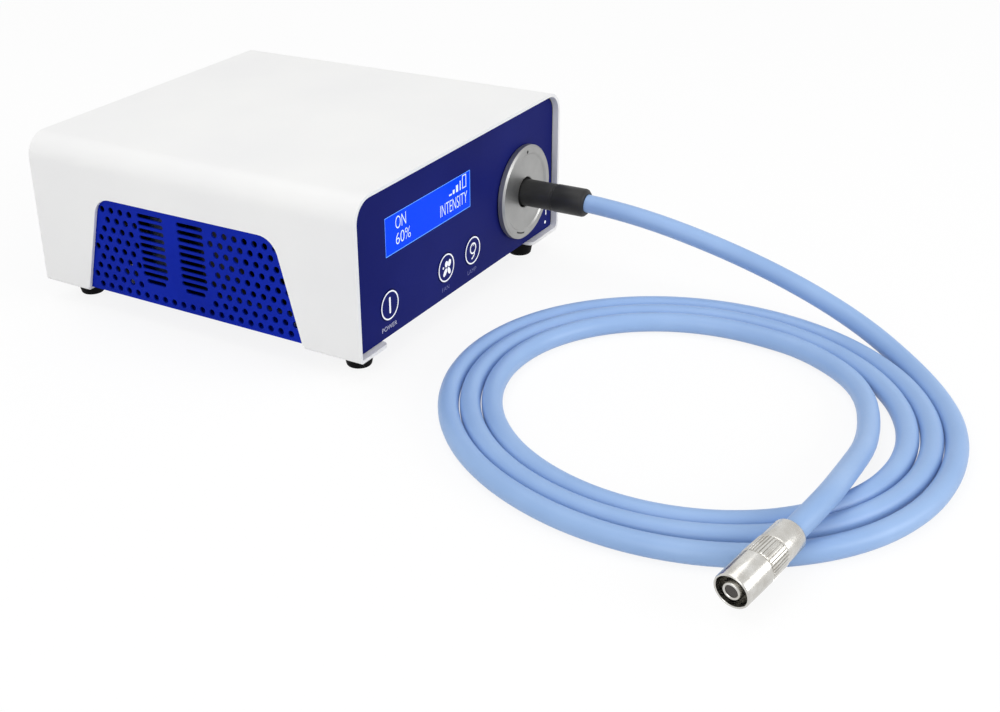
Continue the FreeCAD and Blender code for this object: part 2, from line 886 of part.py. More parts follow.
def make_lens():
    """The condenser lens, in a square holder that stands on the lamp board."""
    clearance = 1.2
    holder_front = SOCKET_BACK + clearance
    holder_length = LED_BOARD_FRONT - holder_front
    half = S.lens_radius + 2
    seat_depth = 6.0
    low = (S.port_x - half, holder_front, S.port_z - half)
    start = (S.port_x, holder_front, S.port_z)
    outside = block("HolderOutside", low, (2 * half, holder_length, 2 * half))
    bore = rod("HolderBore", start, "Y", S.lens_radius, holder_length)
    node("lens_holder", cut("LensHolder", outside, [bore]))
    lens = rod("LensDisc", (S.port_x, holder_front + 1, S.port_z), "Y", S.lens_radius, seat_depth)
    node("condenser_lens", lens)


def make_lamp():
    """The light-emitting chip on its metal-core board."""
    half = 14.0
    board = block(
        "LampBoard",
        (S.port_x - half, LED_BOARD_FRONT, S.port_z - half),
        (2 * half, BOARD_GAUGE, 2 * half),
    )
    node("led_board", board)
    base = block("ChipBase", (S.port_x - 3.5, LED_BOARD_FRONT - 1, S.port_z - 3.5), (7.0, 1.0, 7.0))
    light = block(
        "ChipWindow", (S.port_x - 2, LED_BOARD_FRONT - 1.6, S.port_z - 2), (4.0, 0.6, 4.0)
    )
    node("led_emitter", joined("Chip", [base, light]))


def make_heat_sink():
    """An extruded heat sink that stands on the tray, its fins towards the fan."""
    left = S.port_x - S.heat_sink_width / 2
    base = block(
        "SinkBase",
        (left, S.heat_sink_front, FLOOR_TOP),
        (S.heat_sink_width, S.heat_sink_base, S.heat_sink_height),
    )
    pitch = (S.heat_sink_width - S.fin_gauge) / (S.fin_count - 1)
    fins = [
        block(
            f"Fin{i}",
            (left + pitch * i, S.heat_sink_front + S.heat_sink_base, FLOOR_TOP),
            (S.fin_gauge, S.heat_sink_length - S.heat_sink_base, S.heat_sink_height),
        )
        for i in range(int(S.fin_count.value))
    ]
    return node("heat_sink", joined("HeatSink", [base, *fins]))


def make_fan_frame():
    """The fan's square housing, and the motor carrier on three arms at its outlet."""
    half = S.fan_side / 2
    low = (S.fan_x - half, FAN_FRONT, FAN_Z - half)
    outside = block("FanBox", low, (S.fan_side, S.fan_depth, S.fan_side))
    bore = rod("FanBore", (S.fan_x, FAN_FRONT, FAN_Z), "Y", S.fan_bore, S.fan_depth)
    carrier_gauge = 2.5
    start = REAR_IN - carrier_gauge
    spider = [rod("FanMotor", (S.fan_x, start, FAN_Z), "Y", S.fan_hub - 1, carrier_gauge)]
    arms = 3
    for i in range(arms):
        arm = DOC.addObject("Part::Box", f"FanArm{i}")
        bind(arm, "Length", S.fan_bore - S.fan_hub + 4)
        arm.Width = carrier_gauge
        arm.Height = 3.0
        turn = Rotation(Vector(0, 1, 0), 360 / arms * i + 20)
        offset = turn.multVec(Vector(S.fan_hub.value - 2, 0, -1.5))
        arm.Placement = FreeCAD.Placement(Vector(), turn)
        place(arm, (S.fan_x + offset.x, start, FAN_Z + offset.z))
        spider.append(arm)
    pin = rod("FanPin", (S.fan_x, FAN_FRONT + 5, FAN_Z), "Y", 1.5, start - FAN_FRONT - 5)
    frame = joined("FanFrame", [cut("FanShell", outside, [bore]), *spider, pin])
    return node("fan_frame", frame)


def make_fan_rotor():
    """Hub and pitched blades, running on the frame's pin."""
    x = S.fan_x.value
    z = FAN_Z.value
    hub_front = FAN_FRONT.value + 2
    length = REAR_IN.value - 4.0 - hub_front
    start = Vector(x, hub_front, z)
    forward = Vector(0, 1, 0)
    hub = Part.makeCylinder(S.fan_hub.value, length, start, forward)
    root = S.fan_hub.value - 1
    reach = S.fan_bore.value - 1.6
    chord = 16.0
    gauge = 1.2
    pitch_degrees = 48
    count = int(S.blade_count.value)
    for i in range(count):
        blade = Part.makeBox(reach - root, gauge, chord, Vector(root, -gauge / 2, -chord / 2))
        blade.rotate(Vector(), Vector(1, 0, 0), pitch_degrees)
        blade.rotate(Vector(), forward, 360 / count * i)
        blade.translate(Vector(x, hub_front + length / 2, z))
        hub = hub.fuse(blade)
    hole_radius = 1.5 + S.running_gap.value
    hole = Part.makeCylinder(hole_radius, length - 1, Vector(x, hub_front + 1, z), forward)
    return node("fan_rotor", shaped("FanRotor", hub.cut(hole)))


# ---------------------------------------------------------------- mains inlet

SOCKET_DROP = 11.5
SOCKET_WIDTH = 24.4
SOCKET_HEIGHT = 16.6
SOCKET_DEPTH = 16.0
DRAWER_RISE = 4.0
DRAWER_HALF_WIDTH = 11.5
DRAWER_HALF_HEIGHT = 3.0
ROCKER_RISE = 15.6
ROCKER_RADIUS = 5.6
ROCKER_HALF_WIDTH = 10.2
ROCKER_TILT = 8.0


def make_inlet_housing():
    """The mains module: appliance socket, fuse drawer bay and switch well in one moulding."""
    half_width = S.inlet_width / 2
    half_height = S.inlet_height / 2
    x = S.inlet_x
    z = S.inlet_z
    body = new_body("Inlet")
    shell = rectangle(x - half_width, z - half_height, x + half_width, z + half_height)
    drawing = sketch(body, "XZ", -(REAR_OUT - S.inlet_depth), [shell])
    pad(body, drawing, S.inlet_depth, backwards=True)
    rim = 2.0
    flange = rectangle(
        x - half_width - rim, z - half_height - rim, x + half_width + rim, z + half_height + rim
    )
    pad(body, sketch(body, "XZ", -REAR_OUT, [flange]), FLANGE_OUT - REAR_OUT, backwards=True)
    half = SOCKET_WIDTH / 2
    drop = z - SOCKET_DROP
    bevel = 5.0
    mouth = [
        (x - half + bevel, drop - SOCKET_HEIGHT / 2),
        (x + half - bevel, drop - SOCKET_HEIGHT / 2),
        (x + half, drop - SOCKET_HEIGHT / 2 + bevel),
        (x + half, drop + SOCKET_HEIGHT / 2),
        (x - half, drop + SOCKET_HEIGHT / 2),
        (x - half, drop - SOCKET_HEIGHT / 2 + bevel),
    ]
    gap = 0.3
    bay = rectangle(
        x - DRAWER_HALF_WIDTH - gap,
        z + DRAWER_RISE - DRAWER_HALF_HEIGHT - gap,
        x + DRAWER_HALF_WIDTH + gap,
        z + DRAWER_RISE + DRAWER_HALF_HEIGHT + gap,
    )
    well = rectangle(
        x - ROCKER_HALF_WIDTH - gap,
        z + ROCKER_RISE - ROCKER_RADIUS - gap,
        x + ROCKER_HALF_WIDTH + gap,
        z + ROCKER_RISE + ROCKER_RADIUS + gap,
    )
    for opening, depth in ((mouth, SOCKET_DEPTH), (bay, 21.0), (well, 9.0)):
        pocket(body, sketch(body, "XZ", -FLANGE_OUT, [opening]), depth, backwards=True)
    return node("inlet_housing", body)


def make_inlet_pins():
    """Three flat pins that stand in the socket and end in tags behind the moulding."""
    length = 29.0
    start = FLANGE_OUT - 5 - length
    pins = []
    for i, (dx, dz) in enumerate(((-7, 1), (7, 1), (0, -3))):
        low = (S.inlet_x + dx - 1, start, S.inlet_z - SOCKET_DROP + dz - 2)
        pins.append(block(f"Pin{i}", low, (2.0, length, 4.0)))
    return node("inlet_pins", joined("InletPins", pins))


def make_fuse_drawer():
    """The drawer that holds the fuses, with a finger groove across its front."""
    x = S.inlet_x
    z = S.inlet_z + DRAWER_RISE
    depth = 20.0
    front = FLANGE_OUT + 0.8
    body = block(
        "DrawerBody",
        (x - DRAWER_HALF_WIDTH, front - depth, z - DRAWER_HALF_HEIGHT),
        (2 * DRAWER_HALF_WIDTH, depth, 2 * DRAWER_HALF_HEIGHT),
    )
    wall = 1.2
    trough = block(
        "DrawerTrough",
        (x - DRAWER_HALF_WIDTH + wall, front - depth + 2, z - DRAWER_HALF_HEIGHT + wall),
        (2 * (DRAWER_HALF_WIDTH - wall), 5.8, 2 * DRAWER_HALF_HEIGHT),
    )
    groove = block("DrawerGrip", (x - 4, front - 0.6, z - 1), (8.0, 0.6, 2.0))
    return node("fuse_drawer", cut("FuseDrawer", body, [trough, groove]))


def make_rocker():
    """The switch rocker, rounded about its pivot, with a shallow V across its front."""
    pivot_y = FLANGE_OUT.value - 2.0
    pivot_z = S.inlet_z.value + ROCKER_RISE
    vee = 2.1
    shoulder = 1.5
    reach = math.sqrt(ROCKER_RADIUS**2 - shoulder**2)
    head = Vector(0, shoulder, reach)
    valley = Vector(0, vee, 0)
    foot = Vector(0, shoulder, -reach)
    edges = [
        Part.makeLine(head, valley),
        Part.makeLine(valley, foot),
        Part.Arc(foot, Vector(0, -ROCKER_RADIUS, 0), head).toShape(),
    ]
    solid = Part.Face(Part.Wire(edges)).extrude(Vector(2 * ROCKER_HALF_WIDTH, 0, 0))
    solid.rotate(Vector(), Vector(1, 0, 0), ROCKER_TILT)
    solid.translate(Vector(S.inlet_x.value - ROCKER_HALF_WIDTH, pivot_y, pivot_z))
    return node("main_rocker", shaped("Rocker", solid))


# ---------------------------------------------------------------- power supply


def standoff_places():
    inset = 5.0
    return [
        (POWER_BOARD_LEFT + x, POWER_BOARD_FRONT + y)
        for x in (inset, POWER_BOARD_WIDTH - inset)
        for y in (inset, POWER_BOARD_LENGTH - inset)
    ]


def make_power_board():
    board = block(
        "PowerBoard",
        (POWER_BOARD_LEFT, POWER_BOARD_FRONT, POWER_BOARD_FOOT),
        (POWER_BOARD_WIDTH, POWER_BOARD_LENGTH, BOARD_GAUGE),
    )
    node("power_board", board)
    height = POWER_BOARD_FOOT - FLOOR_TOP
    standoffs = pillars("BoardStandoffs", standoff_places(), FLOOR_TOP, "Z", 2.9, height)
    node("board_standoffs", standoffs)


def make_transformer():
    """A ferrite core round a wound bobbin, standing on the board."""
    x = POWER_BOARD_LEFT + 26
    y = POWER_BOARD_FRONT + 42
    top = POWER_BOARD_TOP
    core = block("Core", (x, y, top + 2), (26.0, 9.0, 20.0))
    bobbin = block("Bobbin", (x + 4, y - 6, top), (18.0, 21.0, 3.0))
    bobbin_head = block("BobbinHead", (x + 4, y - 6, top + 19), (18.0, 21.0, 2.0))
    winding = block("Winding", (x + 5, y - 5, top + 2), (16.0, 19.0, 18.0))
    return node("transformer", joined("Transformer", [core, bobbin, bobbin_head, winding]))


def make_capacitors():
    """Two tall smoothing capacitors at the mains side of the board."""
    radius = 8.0
    height = 26.0
    cans = [
        rod(
            f"Capacitor{i}",
            (POWER_BOARD_LEFT + x, POWER_BOARD_FRONT + 78, POWER_BOARD_TOP),
            "Z",
            radius,
            height,
        )
        for i, x in enumerate((12.0, 31.0))
    ]
    return node("capacitors", joined("Capacitors", cans))


def make_board_heat_sinks():
    """Two finned aluminium plates on the board, the tall one beside the left grille."""
    gauge = 2.0
    sinks = []
    for x, y, length, height, fins in ((3.0, 29.0, 23.0, 30.0, 4), (48.0, 60.0, 30.0, 24.0, 4)):
        low_x = POWER_BOARD_LEFT + x
        low_y = POWER_BOARD_FRONT + y
        name = f"BoardSink{len(sinks)}"
        plate = block(f"{name}_plate", (low_x, low_y, POWER_BOARD_TOP), (gauge, length, height))
        pitch = (length - gauge) / (fins - 1)
        ribs = [
            block(
                f"{name}_fin{i}",
                (low_x + gauge, low_y + pitch * i, POWER_BOARD_TOP),
                (5.0, gauge, height),
            )
            for i in range(fins)
        ]
        sinks.append(joined(name, [plate, *ribs]))
    return node("board_heat_sinks", joined("BoardSinks", sinks))


# ---------------------------------------------------------------- fasteners

SCREW_SHANK = 1.5


def screws(name, places, seat, axis, head, length):
    """Hexagon-head screws whose heads stand on a seat level and point along the axis."""
    heads = pillars(f"{name}_heads", places, seat, axis, 2 * SCREW_SHANK, head)
    shanks = pillars(f"{name}_shanks", places, seat - length, axis, SCREW_SHANK, length)
    return joined(name, [heads, shanks])


def make_panel_screws():
    """Screws through the rear panel: two into each rear bracket, four into the fan."""
    bracket_x = GRILLE_INSIDE - 4
    fan_reach = 25.0
    places = [(x, z) for x in (-bracket_x, bracket_x) for z in (FLOOR_TOP + 14, FLOOR_TOP + 42)]
    places += [
        (S.fan_x + x, FAN_Z + z)
        for x in (-fan_reach, fan_reach)
        for z in (-fan_reach, fan_reach)
    ]
    return node("panel_screws", screws("PanelScrews", places, REAR_OUT, "Y", 1.8, 6.0))


def make_board_screws():
    """Screws that hold the display, key and power boards on their spacers."""
    display_back = DISPLAY_BOARD_FRONT + BOARD_GAUGE
    groups = [
        screws("DisplayScrews", display_spacer_places(), display_back, "Y", 1.5, 4.0),
        screws("KeyScrews", key_spacer_places(), KEY_BOARD_BACK, "Y", 1.5, 4.0),
        screws("PowerScrews", standoff_places(), POWER_BOARD_TOP, "Z", 1.5, 5.0),
    ]
    return node("board_screws", joined("BoardScrews", groups))


# ---------------------------------------------------------------- light cable


def coil_point(turns, outwards=0.0):
    """A point of the coil's flat spiral, on the table, moved outwards by a distance."""
    bearing_degrees = 270 - 360 * turns
    stretch = math.cos(math.radians(2 * (bearing_degrees - S.coil_stretch_bearing.value)))
    radius = S.coil_start_radius.value - S.coil_pitch.value * turns
    radius += S.coil_stretch.value * stretch + outwards
    bearing = math.radians(bearing_degrees)
    x = S.coil_x.value + radius * math.cos(bearing)
    y = S.coil_y.value + radius * math.sin(bearing)
    return Vector(x, y, 0)


def spiral_edges(first_turn, last_turn, outwards):
    """Arcs through the spiral's points."""
    arcs = 12
    step = (last_turn - first_turn) / arcs
    edges = []
    for i in range(arcs):
        turns = first_turn + step * i
        points = [coil_point(turns + share * step, outwards) for share in (0, 0.5, 1)]
        edges.append(Part.Arc(*points).toShape())
    return edges


def closed_turn(first_turn, last_turn, outwards):
    """One whole turn of the spiral, closed by its radial step."""
    edges = spiral_edges(first_turn, last_turn, outwards)
    step = Part.makeLine(coil_point(last_turn, outwards), coil_point(first_turn, outwards))
    return Part.Wire([*edges, step])


def make_cable_coil():
    """The coil's outer shape: from the outermost turn's outside to the innermost one's."""
    radius = S.cable_radius.value
    outside = closed_turn(COIL_START_TURN, COIL_START_TURN + 1, radius)
    inside = closed_turn(COIL_END_TURN - 1, COIL_END_TURN, -radius)
    plan = Part.Face(outside).cut(Part.Face(inside)).Faces[0]
    coil = plan.extrude(Vector(0, 0, 2 * radius))
    return node("cable_coil", shaped("Coil", coil))


def tube_along(name, route, radius):
    """A tube whose centre line is straight runs joined by tangent arcs."""
    share = 0.45
    edges = []
    radii = []
    start = route[0]
    for before, corner, after in zip(route, route[1:], route[2:]):
        run_in = corner - before
        run_out = after - corner
        reach = share * min(run_in.Length, run_out.Length)
        turn = run_in.getAngle(run_out)
        radii.append(reach / math.tan(turn / 2))
        towards = Vector(run_in).normalize()
        away = Vector(run_out).normalize()
        first = corner - towards * reach
        last = corner + away * reach
        to_centre = (away - towards).normalize()
        sagitta = radii[-1] / math.cos(turn / 2) - radii[-1]
        edges.append(Part.LineSegment(start, first).toShape())
        edges.append(Part.Arc(first, corner + to_centre * sagitta, last).toShape())
        start = last
    edges.append(Part.LineSegment(start, route[-1]).toShape())
    path = Part.Wire(edges)
    profile = Part.Wire(Part.makeCircle(radius, route[0], route[1] - route[0]))
    tube = path.makePipeShell([profile], True, False)
    expected = math.pi * radius**2 * path.Length
    print(
        f"{name}: length {path.Length:.1f}, radii {[round(r) for r in radii]},"
        f" volume over section times length {tube.Volume / expected:.4f}"
    )
    return tube


def make_cable():
    """The free stretches: from the plug to the coil, and from the coil to the connector."""
    radius = S.cable_radius.value
    above_table = Vector(0, 0, radius)
    entry = coil_point(COIL_START_TURN) + above_table
    leave = coil_point(COIL_END_TURN) + above_table
    lead = [Vector(*point) for point in LEAD_POINTS] + [entry]
    tail = [leave] + [Vector(*point) for point in TAIL_POINTS]
    node("cable_lead", shaped("Lead", tube_along("cable_lead", lead, radius)))
    node("cable_tail", shaped("Tail", tube_along("cable_tail", tail, radius)))


def make_plug():
    """The black sleeve in the dial's eye and the steel ferrule beyond it in the socket."""
    x = S.port_x
    z = S.port_z
    chamfer = 1.2
    groove_at = DIAL_FRONT - 14.3
    groove = 0.8
    rear = taper(
        "PlugChamfer", (x, PLUG_END, z), "Y", S.plug_radius - chamfer, S.plug_radius, chamfer
    )
    sleeve_length = groove_at - PLUG_END - chamfer
    sleeve = rod("PlugSleeve", (x, PLUG_END + chamfer, z), "Y", S.plug_radius, sleeve_length)
    neck = rod("PlugNeck", (x, groove_at, z), "Y", S.plug_radius - 0.5, groove)
    nose_length = PLUG_FACE - groove_at - groove
    nose = rod("PlugNose", (x, groove_at + groove, z), "Y", S.plug_radius - 0.1, nose_length)
    node("cable_plug", joined("Plug", [rear, sleeve, neck, nose]))
    node("plug_ferrule", rod("Ferrule", (x, PLUG_FACE, z), "Y", S.ferrule_radius, S.ferrule_length))


def turned(start, axis, outline):
    """A solid of revolution about the connector's axis from (distance, radius) points."""
    points = [Vector(radius, 0, distance) for distance, radius in outline]
    face = Part.Face(Part.makePolygon(points + points[:1]))
    solid = face.revolve(Vector(), Vector(0, 0, 1), 360)
    solid.Placement = FreeCAD.Placement(start, Rotation(Vector(0, 0, 1), axis))
    return solid


def make_connector():
    """The steel instrument-end connector, along the tail's last run."""
    start = Vector(*TAIL_POINTS[-1])
    axis = (start - Vector(*TAIL_POINTS[-2])).normalize()
    outer = S.connector_radius.value
    rear_end = 11.0
    knurl_end = rear_end + 6.5
    bore_end = knurl_end + 4.0
    mouth = knurl_end + 15.0
    rear = [(0.0, 0.0), (0.0, outer - 0.2), (rear_end, outer - 0.2), (rear_end, 0.0)]
    node("connector_rear", shaped("ConnectorRear", turned(start, axis, rear)))

    flutes = 18
    points = []
    for i in range(flutes):
        for share, radius in ((0.0, outer + 0.25), (0.5, outer - 0.05)):
            bearing = 2 * math.pi * (i + share) / flutes
            points.append(Vector(radius * math.cos(bearing), radius * math.sin(bearing), rear_end))
    knurl = prism(points, Vector(0, 0, knurl_end - rear_end))
    knurl.Placement = FreeCAD.Placement(start, Rotation(Vector(0, 0, 1), axis))
    node("connector_ring", shaped("ConnectorRing", knurl))

    bore = outer - 1.1
    sleeve = [
        (knurl_end, 0.0),
        (knurl_end, outer),
        (mouth, outer),
        (mouth, bore),
        (bore_end, bore),
        (bore_end, 0.0),
    ]
    node("connector_sleeve", shaped("ConnectorSleeve", turned(start, axis, sleeve)))

    core_radius = 3.0
    core_end = mouth - 2.0
    core = [(bore_end, 0.0), (bore_end, core_radius), (core_end, core_radius), (core_end, 0.0)]
    node("connector_core", shaped("ConnectorCore", turned(start, axis, core)))
    fibre_radius = 2.0
    face_end = core_end + 0.3
    face = [(core_end, 0.0), (core_end, fibre_radius), (face_end, fibre_radius), (face_end, 0.0)]
    node("fibre_face", shaped("FibreFace", turned(start, axis, face)))


# ---------------------------------------------------------------- build


def build():
    make_wrap_cover()
    make_base_tray()
    make_grilles()
    make_corner_brackets()
    make_front_panel()
    make_display_window()
    make_rear_panel()
    make_feet()
    make_display()
    make_key_board()
    make_keys()
    make_dial()
    make_light_socket()
    make_lens()
    make_lamp()
    make_heat_sink()
    make_fan_frame()
    make_fan_rotor()
    make_inlet_housing()
    make_inlet_pins()
    make_fuse_drawer()
    make_rocker()
    make_power_board()
    make_transformer()
    make_capacitors()
    make_board_heat_sinks()
    make_panel_screws()
    make_board_screws()
    make_plug()
    make_cable()
    make_cable_coil()
    make_connector()
    DOC.recompute()


def check():
    """Stop if any object failed or any sub-part is not a sound solid."""
    for thing in DOC.Objects:
        if {"Invalid", "Error"} & set(thing.State):
            raise RuntimeError(f"{thing.Label} did not build: {thing.State}")
    for thing in NODES:
        shape = thing.Shape
        if shape.isNull() or not shape.Solids or not shape.isValid():
            raise RuntimeError(f"{thing.Label} is not a sound solid")


def write():
    os.makedirs("parts", exist_ok=True)
    for thing in NODES:
        thing.Shape.exportStep(f"parts/{thing.Label}.step")
    print(f"{len(NODES)} sub-parts written")


build()
check()
write()
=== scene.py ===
import math

import bmesh
import bpy
from mathutils import Matrix, Vector


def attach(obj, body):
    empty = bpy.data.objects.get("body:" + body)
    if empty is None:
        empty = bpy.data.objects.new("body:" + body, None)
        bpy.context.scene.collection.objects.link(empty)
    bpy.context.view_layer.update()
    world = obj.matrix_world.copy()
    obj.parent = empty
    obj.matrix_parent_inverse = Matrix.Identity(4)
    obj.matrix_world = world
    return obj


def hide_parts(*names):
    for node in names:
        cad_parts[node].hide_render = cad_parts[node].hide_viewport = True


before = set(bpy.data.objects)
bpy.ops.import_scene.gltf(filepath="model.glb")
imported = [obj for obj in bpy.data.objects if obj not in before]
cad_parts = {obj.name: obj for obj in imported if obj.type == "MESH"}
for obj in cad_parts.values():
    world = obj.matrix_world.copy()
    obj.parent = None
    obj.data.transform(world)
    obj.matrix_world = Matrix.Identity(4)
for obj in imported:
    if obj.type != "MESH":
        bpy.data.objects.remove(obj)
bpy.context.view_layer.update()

# Looks of a bench cold light source: a white sheet cover over blue perforated plates, a navy
# front with a lit display, round keys and a turned dial, and a coiled fibre light cable.
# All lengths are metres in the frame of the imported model: the front faces -Y, +Z is up.

MM = 0.001

# Places that several pieces share, in millimetres.
FRONT_FACE = -83.5
KEY_FACE = -83.8
WINDOW_FACE = -83.4
HALF_WIDTH, HALF_DEPTH, CASE_HEAD = 82.5, 86.5, 77.0
PORT_X, PORT_Z = 51.0, 37.4
PLUG_FACE, PLUG_END = -77.5, -117.0
KEYS = {"power": -57.0, "fan": -13.8, "lamp": 8.0}
KEY_Z = 24.2
# How far in front of its face the middle of a print, and of a drawn line round an edge, lies.
PRINT_RISE, LINE_RISE = 0.03, 0.02


# ---------------------------------------------------------------- camera


def stand_camera():
    """A long lens above the left front corner, turned a little about its own line of sight."""
    azimuth, elevation, roll = math.radians(-54.96), math.radians(26.72), math.radians(-2.45)
    back = Vector(
        (
            math.sin(azimuth) * math.cos(elevation),
            -math.cos(azimuth) * math.cos(elevation),
            math.sin(elevation),
        )
    )
    right = (-back).cross(Vector((0, 0, 1))).normalized()
    up = right.cross(-back)
    turned_right = right * math.cos(roll) + up * math.sin(roll)
    turned_up = up * math.cos(roll) - right * math.sin(roll)
    data = bpy.data.cameras.new("camera")
    data.lens = 51.5
    data.sensor_width = 36.0
    data.shift_x = 0.12
    data.clip_start = 0.02
    data.clip_end = 20.0
    camera = bpy.data.objects.new("camera", data)
    bpy.context.scene.collection.objects.link(camera)
    turn = Matrix((turned_right, turned_up, back)).transposed().to_4x4()
    stand_mm = Vector((-486.75, -379.2, 264.08))
    camera.matrix_world = Matrix.Translation(stand_mm * MM) @ turn
    bpy.context.scene.camera = camera


stand_camera()


# ---------------------------------------------------------------- finishes


def colour(code):
    """An sRGB hex code as the linear colour that a shader takes."""
    parts = [int(code[i : i + 2], 16) / 255 for i in (0, 2, 4)]
    return [p / 12.92 if p <= 0.04045 else ((p + 0.055) / 1.055) ** 2.4 for p in parts] + [1.0]


def add(tree, kind, settings=None, inputs=None):
    """A node with its settings; an input is a value, or an output to link from."""
    node = tree.nodes.new(f"ShaderNode{kind}")
    for name, value in (settings or {}).items():
        setattr(node, name, value)
    for name, value in (inputs or {}).items():
        if isinstance(value, bpy.types.NodeSocket):
            tree.links.new(value, node.inputs[name])
        else:
            node.inputs[name].default_value = value
    return node


def new_finish(name):
    """A named material, its tree, its shader and the object's own coordinates in metres."""
    material = bpy.data.materials.new(name)
    material.use_nodes = True
    tree = material.node_tree
    place = add(tree, "TexCoord").outputs["Object"]
    return material, tree, tree.nodes["Principled BSDF"], place


def cloud(tree, place, size_mm, detail=2.0):
    """Soft noise whose patches are about that wide."""
    inputs = {"Vector": place, "Scale": 1000 / size_mm, "Detail": detail, "Roughness": 0.55}
    return add(tree, "TexNoise", None, inputs).outputs["Fac"]


def between(tree, share, low, high):
    """A number that goes from low to high over the middle of the share, where noise mostly is."""
    inputs = {"Value": share, "From Min": 0.3, "From Max": 0.7, "To Min": low, "To Max": high}
    return add(tree, "MapRange", None, inputs).outputs["Result"]


def blended(tree, share, first, second):
    """A colour from the first to the second with the share."""
    # The node has its sockets once for each kind of data; these are the ones for colours.
    mix = add(tree, "Mix", {"data_type": "RGBA"}, {0: share, 6: first, 7: second})
    return mix.outputs[2]


def relief(tree, shader, height, depth_mm):
    """A bump of that depth from a height of 0 to 1."""
    inputs = {"Height": height, "Distance": depth_mm * MM, "Strength": 1.0}
    normal = add(tree, "Bump", None, inputs).outputs["Normal"]
    tree.links.new(normal, shader.inputs["Normal"])


# The index of most plastics, rubbers and paints; a metal keeps the shader's own.
PLASTIC_IOR = 1.5
# Metres between the lines of a wave texture whose scale is 1.
WAVE_PITCH = 0.314


def surface(
    name, light, dark, patch_mm, rough, grain_mm, grain_depth_mm, metallic=0.0, specular=0.5
):
    """A finish whose shade and gloss drift over patches, with a fine grain in its relief."""
    material, tree, shader, place = new_finish(name)
    drift = cloud(tree, place, patch_mm)
    grain = cloud(tree, place, grain_mm, detail=3.0)
    shade = blended(tree, between(tree, drift, 0.0, 1.0), colour(light), colour(dark))
    tree.links.new(shade, shader.inputs["Base Color"])
    tree.links.new(between(tree, grain, *rough), shader.inputs["Roughness"])
    relief(tree, shader, grain, grain_depth_mm)
    shader.inputs["Metallic"].default_value = metallic
    if metallic == 0.0:
        shader.inputs["IOR"].default_value = PLASTIC_IOR
        shader.inputs["Specular IOR Level"].default_value = specular
    return material


def turned_metal(name, light, dark, rough, centre, ring_mm, depth_mm):
    """Metal faced on a lathe: fine rings about a centre on the front, in X and Z."""
    material, tree, shader, place = new_finish(name)
    offset = [-centre[0] * MM, 0.0, -centre[1] * MM]
    at_centre = add(tree, "Mapping", None, {"Vector": place, "Location": offset}).outputs["Vector"]
    settings = {"wave_type": "RINGS", "rings_direction": "Y", "wave_profile": "SIN"}
    scale = WAVE_PITCH / (ring_mm * MM)
    inputs = {"Vector": at_centre, "Scale": scale, "Distortion": 0.6, "Detail": 1.0}
    rings = add(tree, "TexWave", settings, inputs).outputs["Fac"]
    patch_mm = 9.0
    drift = cloud(tree, at_centre, patch_mm)
    shade = blended(tree, between(tree, drift, 0.0, 1.0), colour(light), colour(dark))
    tree.links.new(shade, shader.inputs["Base Color"])
    tree.links.new(between(tree, rings, *rough), shader.inputs["Roughness"])
    relief(tree, shader, rings, depth_mm)
    shader.inputs["Metallic"].default_value = 1.0
    return material


def lit_display():
    """Backlit character glass: an even blue glow behind a faint grid of character cells."""
    material, tree, shader, place = new_finish("backlit_display_glass")
    cell_mm, gap_mm = 0.6, 0.06
    settings = {"offset": 0.0}
    upright = add(tree, "Mapping", None, {"Vector": place, "Rotation": [math.pi / 2, 0.0, 0.0]})
    inputs = {
        "Vector": upright.outputs["Vector"],
        "Scale": 1.0,
        "Brick Width": cell_mm * MM,
        "Row Height": cell_mm * MM,
        "Mortar Size": gap_mm * MM,
        "Mortar Smooth": 0.6,
        "Color1": colour("0644FC"),
        "Color2": colour("0641F6"),
        "Mortar": colour("063BE8"),
    }
    cells = add(tree, "TexBrick", settings, inputs).outputs["Color"]
    tree.links.new(cells, shader.inputs["Base Color"])
    tree.links.new(cells, shader.inputs["Emission Color"])
    shader.inputs["Emission Strength"].default_value = 0.38
    shader.inputs["Roughness"].default_value = 0.25
    shader.inputs["Specular IOR Level"].default_value = 0.03
    return material


def circuit_board(name, over_copper, over_laminate):
    """Solder mask: darker bare laminate between lighter copper runs under the lacquer."""
    material, tree, shader, place = new_finish(name)
    run_mm = 5.0
    inputs = {"Vector": place, "Scale": 1000 / run_mm, "Randomness": 0.35}
    runs = add(tree, "TexVoronoi", {"distance": "MANHATTAN", "feature": "F1"}, inputs)
    share = between(tree, runs.outputs["Distance"], 0.0, 1.0)
    shade = blended(tree, share, colour(over_copper), colour(over_laminate))
    tree.links.new(shade, shader.inputs["Base Color"])
    shader.inputs["Roughness"].default_value = 0.32
    relief(tree, shader, share, 0.03)
    return material


def ribbed(name, light, dark, pitch_mm, axis, rough):
    """Metal with the fine parallel lines that a die or a press leaves."""
    material, tree, shader, place = new_finish(name)
    settings = {"wave_type": "BANDS", "bands_direction": axis, "wave_profile": "SIN"}
    scale = WAVE_PITCH / (pitch_mm * MM)
    inputs = {"Vector": place, "Scale": scale, "Distortion": 1.5, "Detail": 2.0}
    lines = add(tree, "TexWave", settings, inputs).outputs["Fac"]
    shade = blended(tree, lines, colour(light), colour(dark))
    tree.links.new(shade, shader.inputs["Base Color"])
    tree.links.new(between(tree, lines, *rough), shader.inputs["Roughness"])
    relief(tree, shader, lines, 0.01)
    shader.inputs["Metallic"].default_value = 1.0
    return material


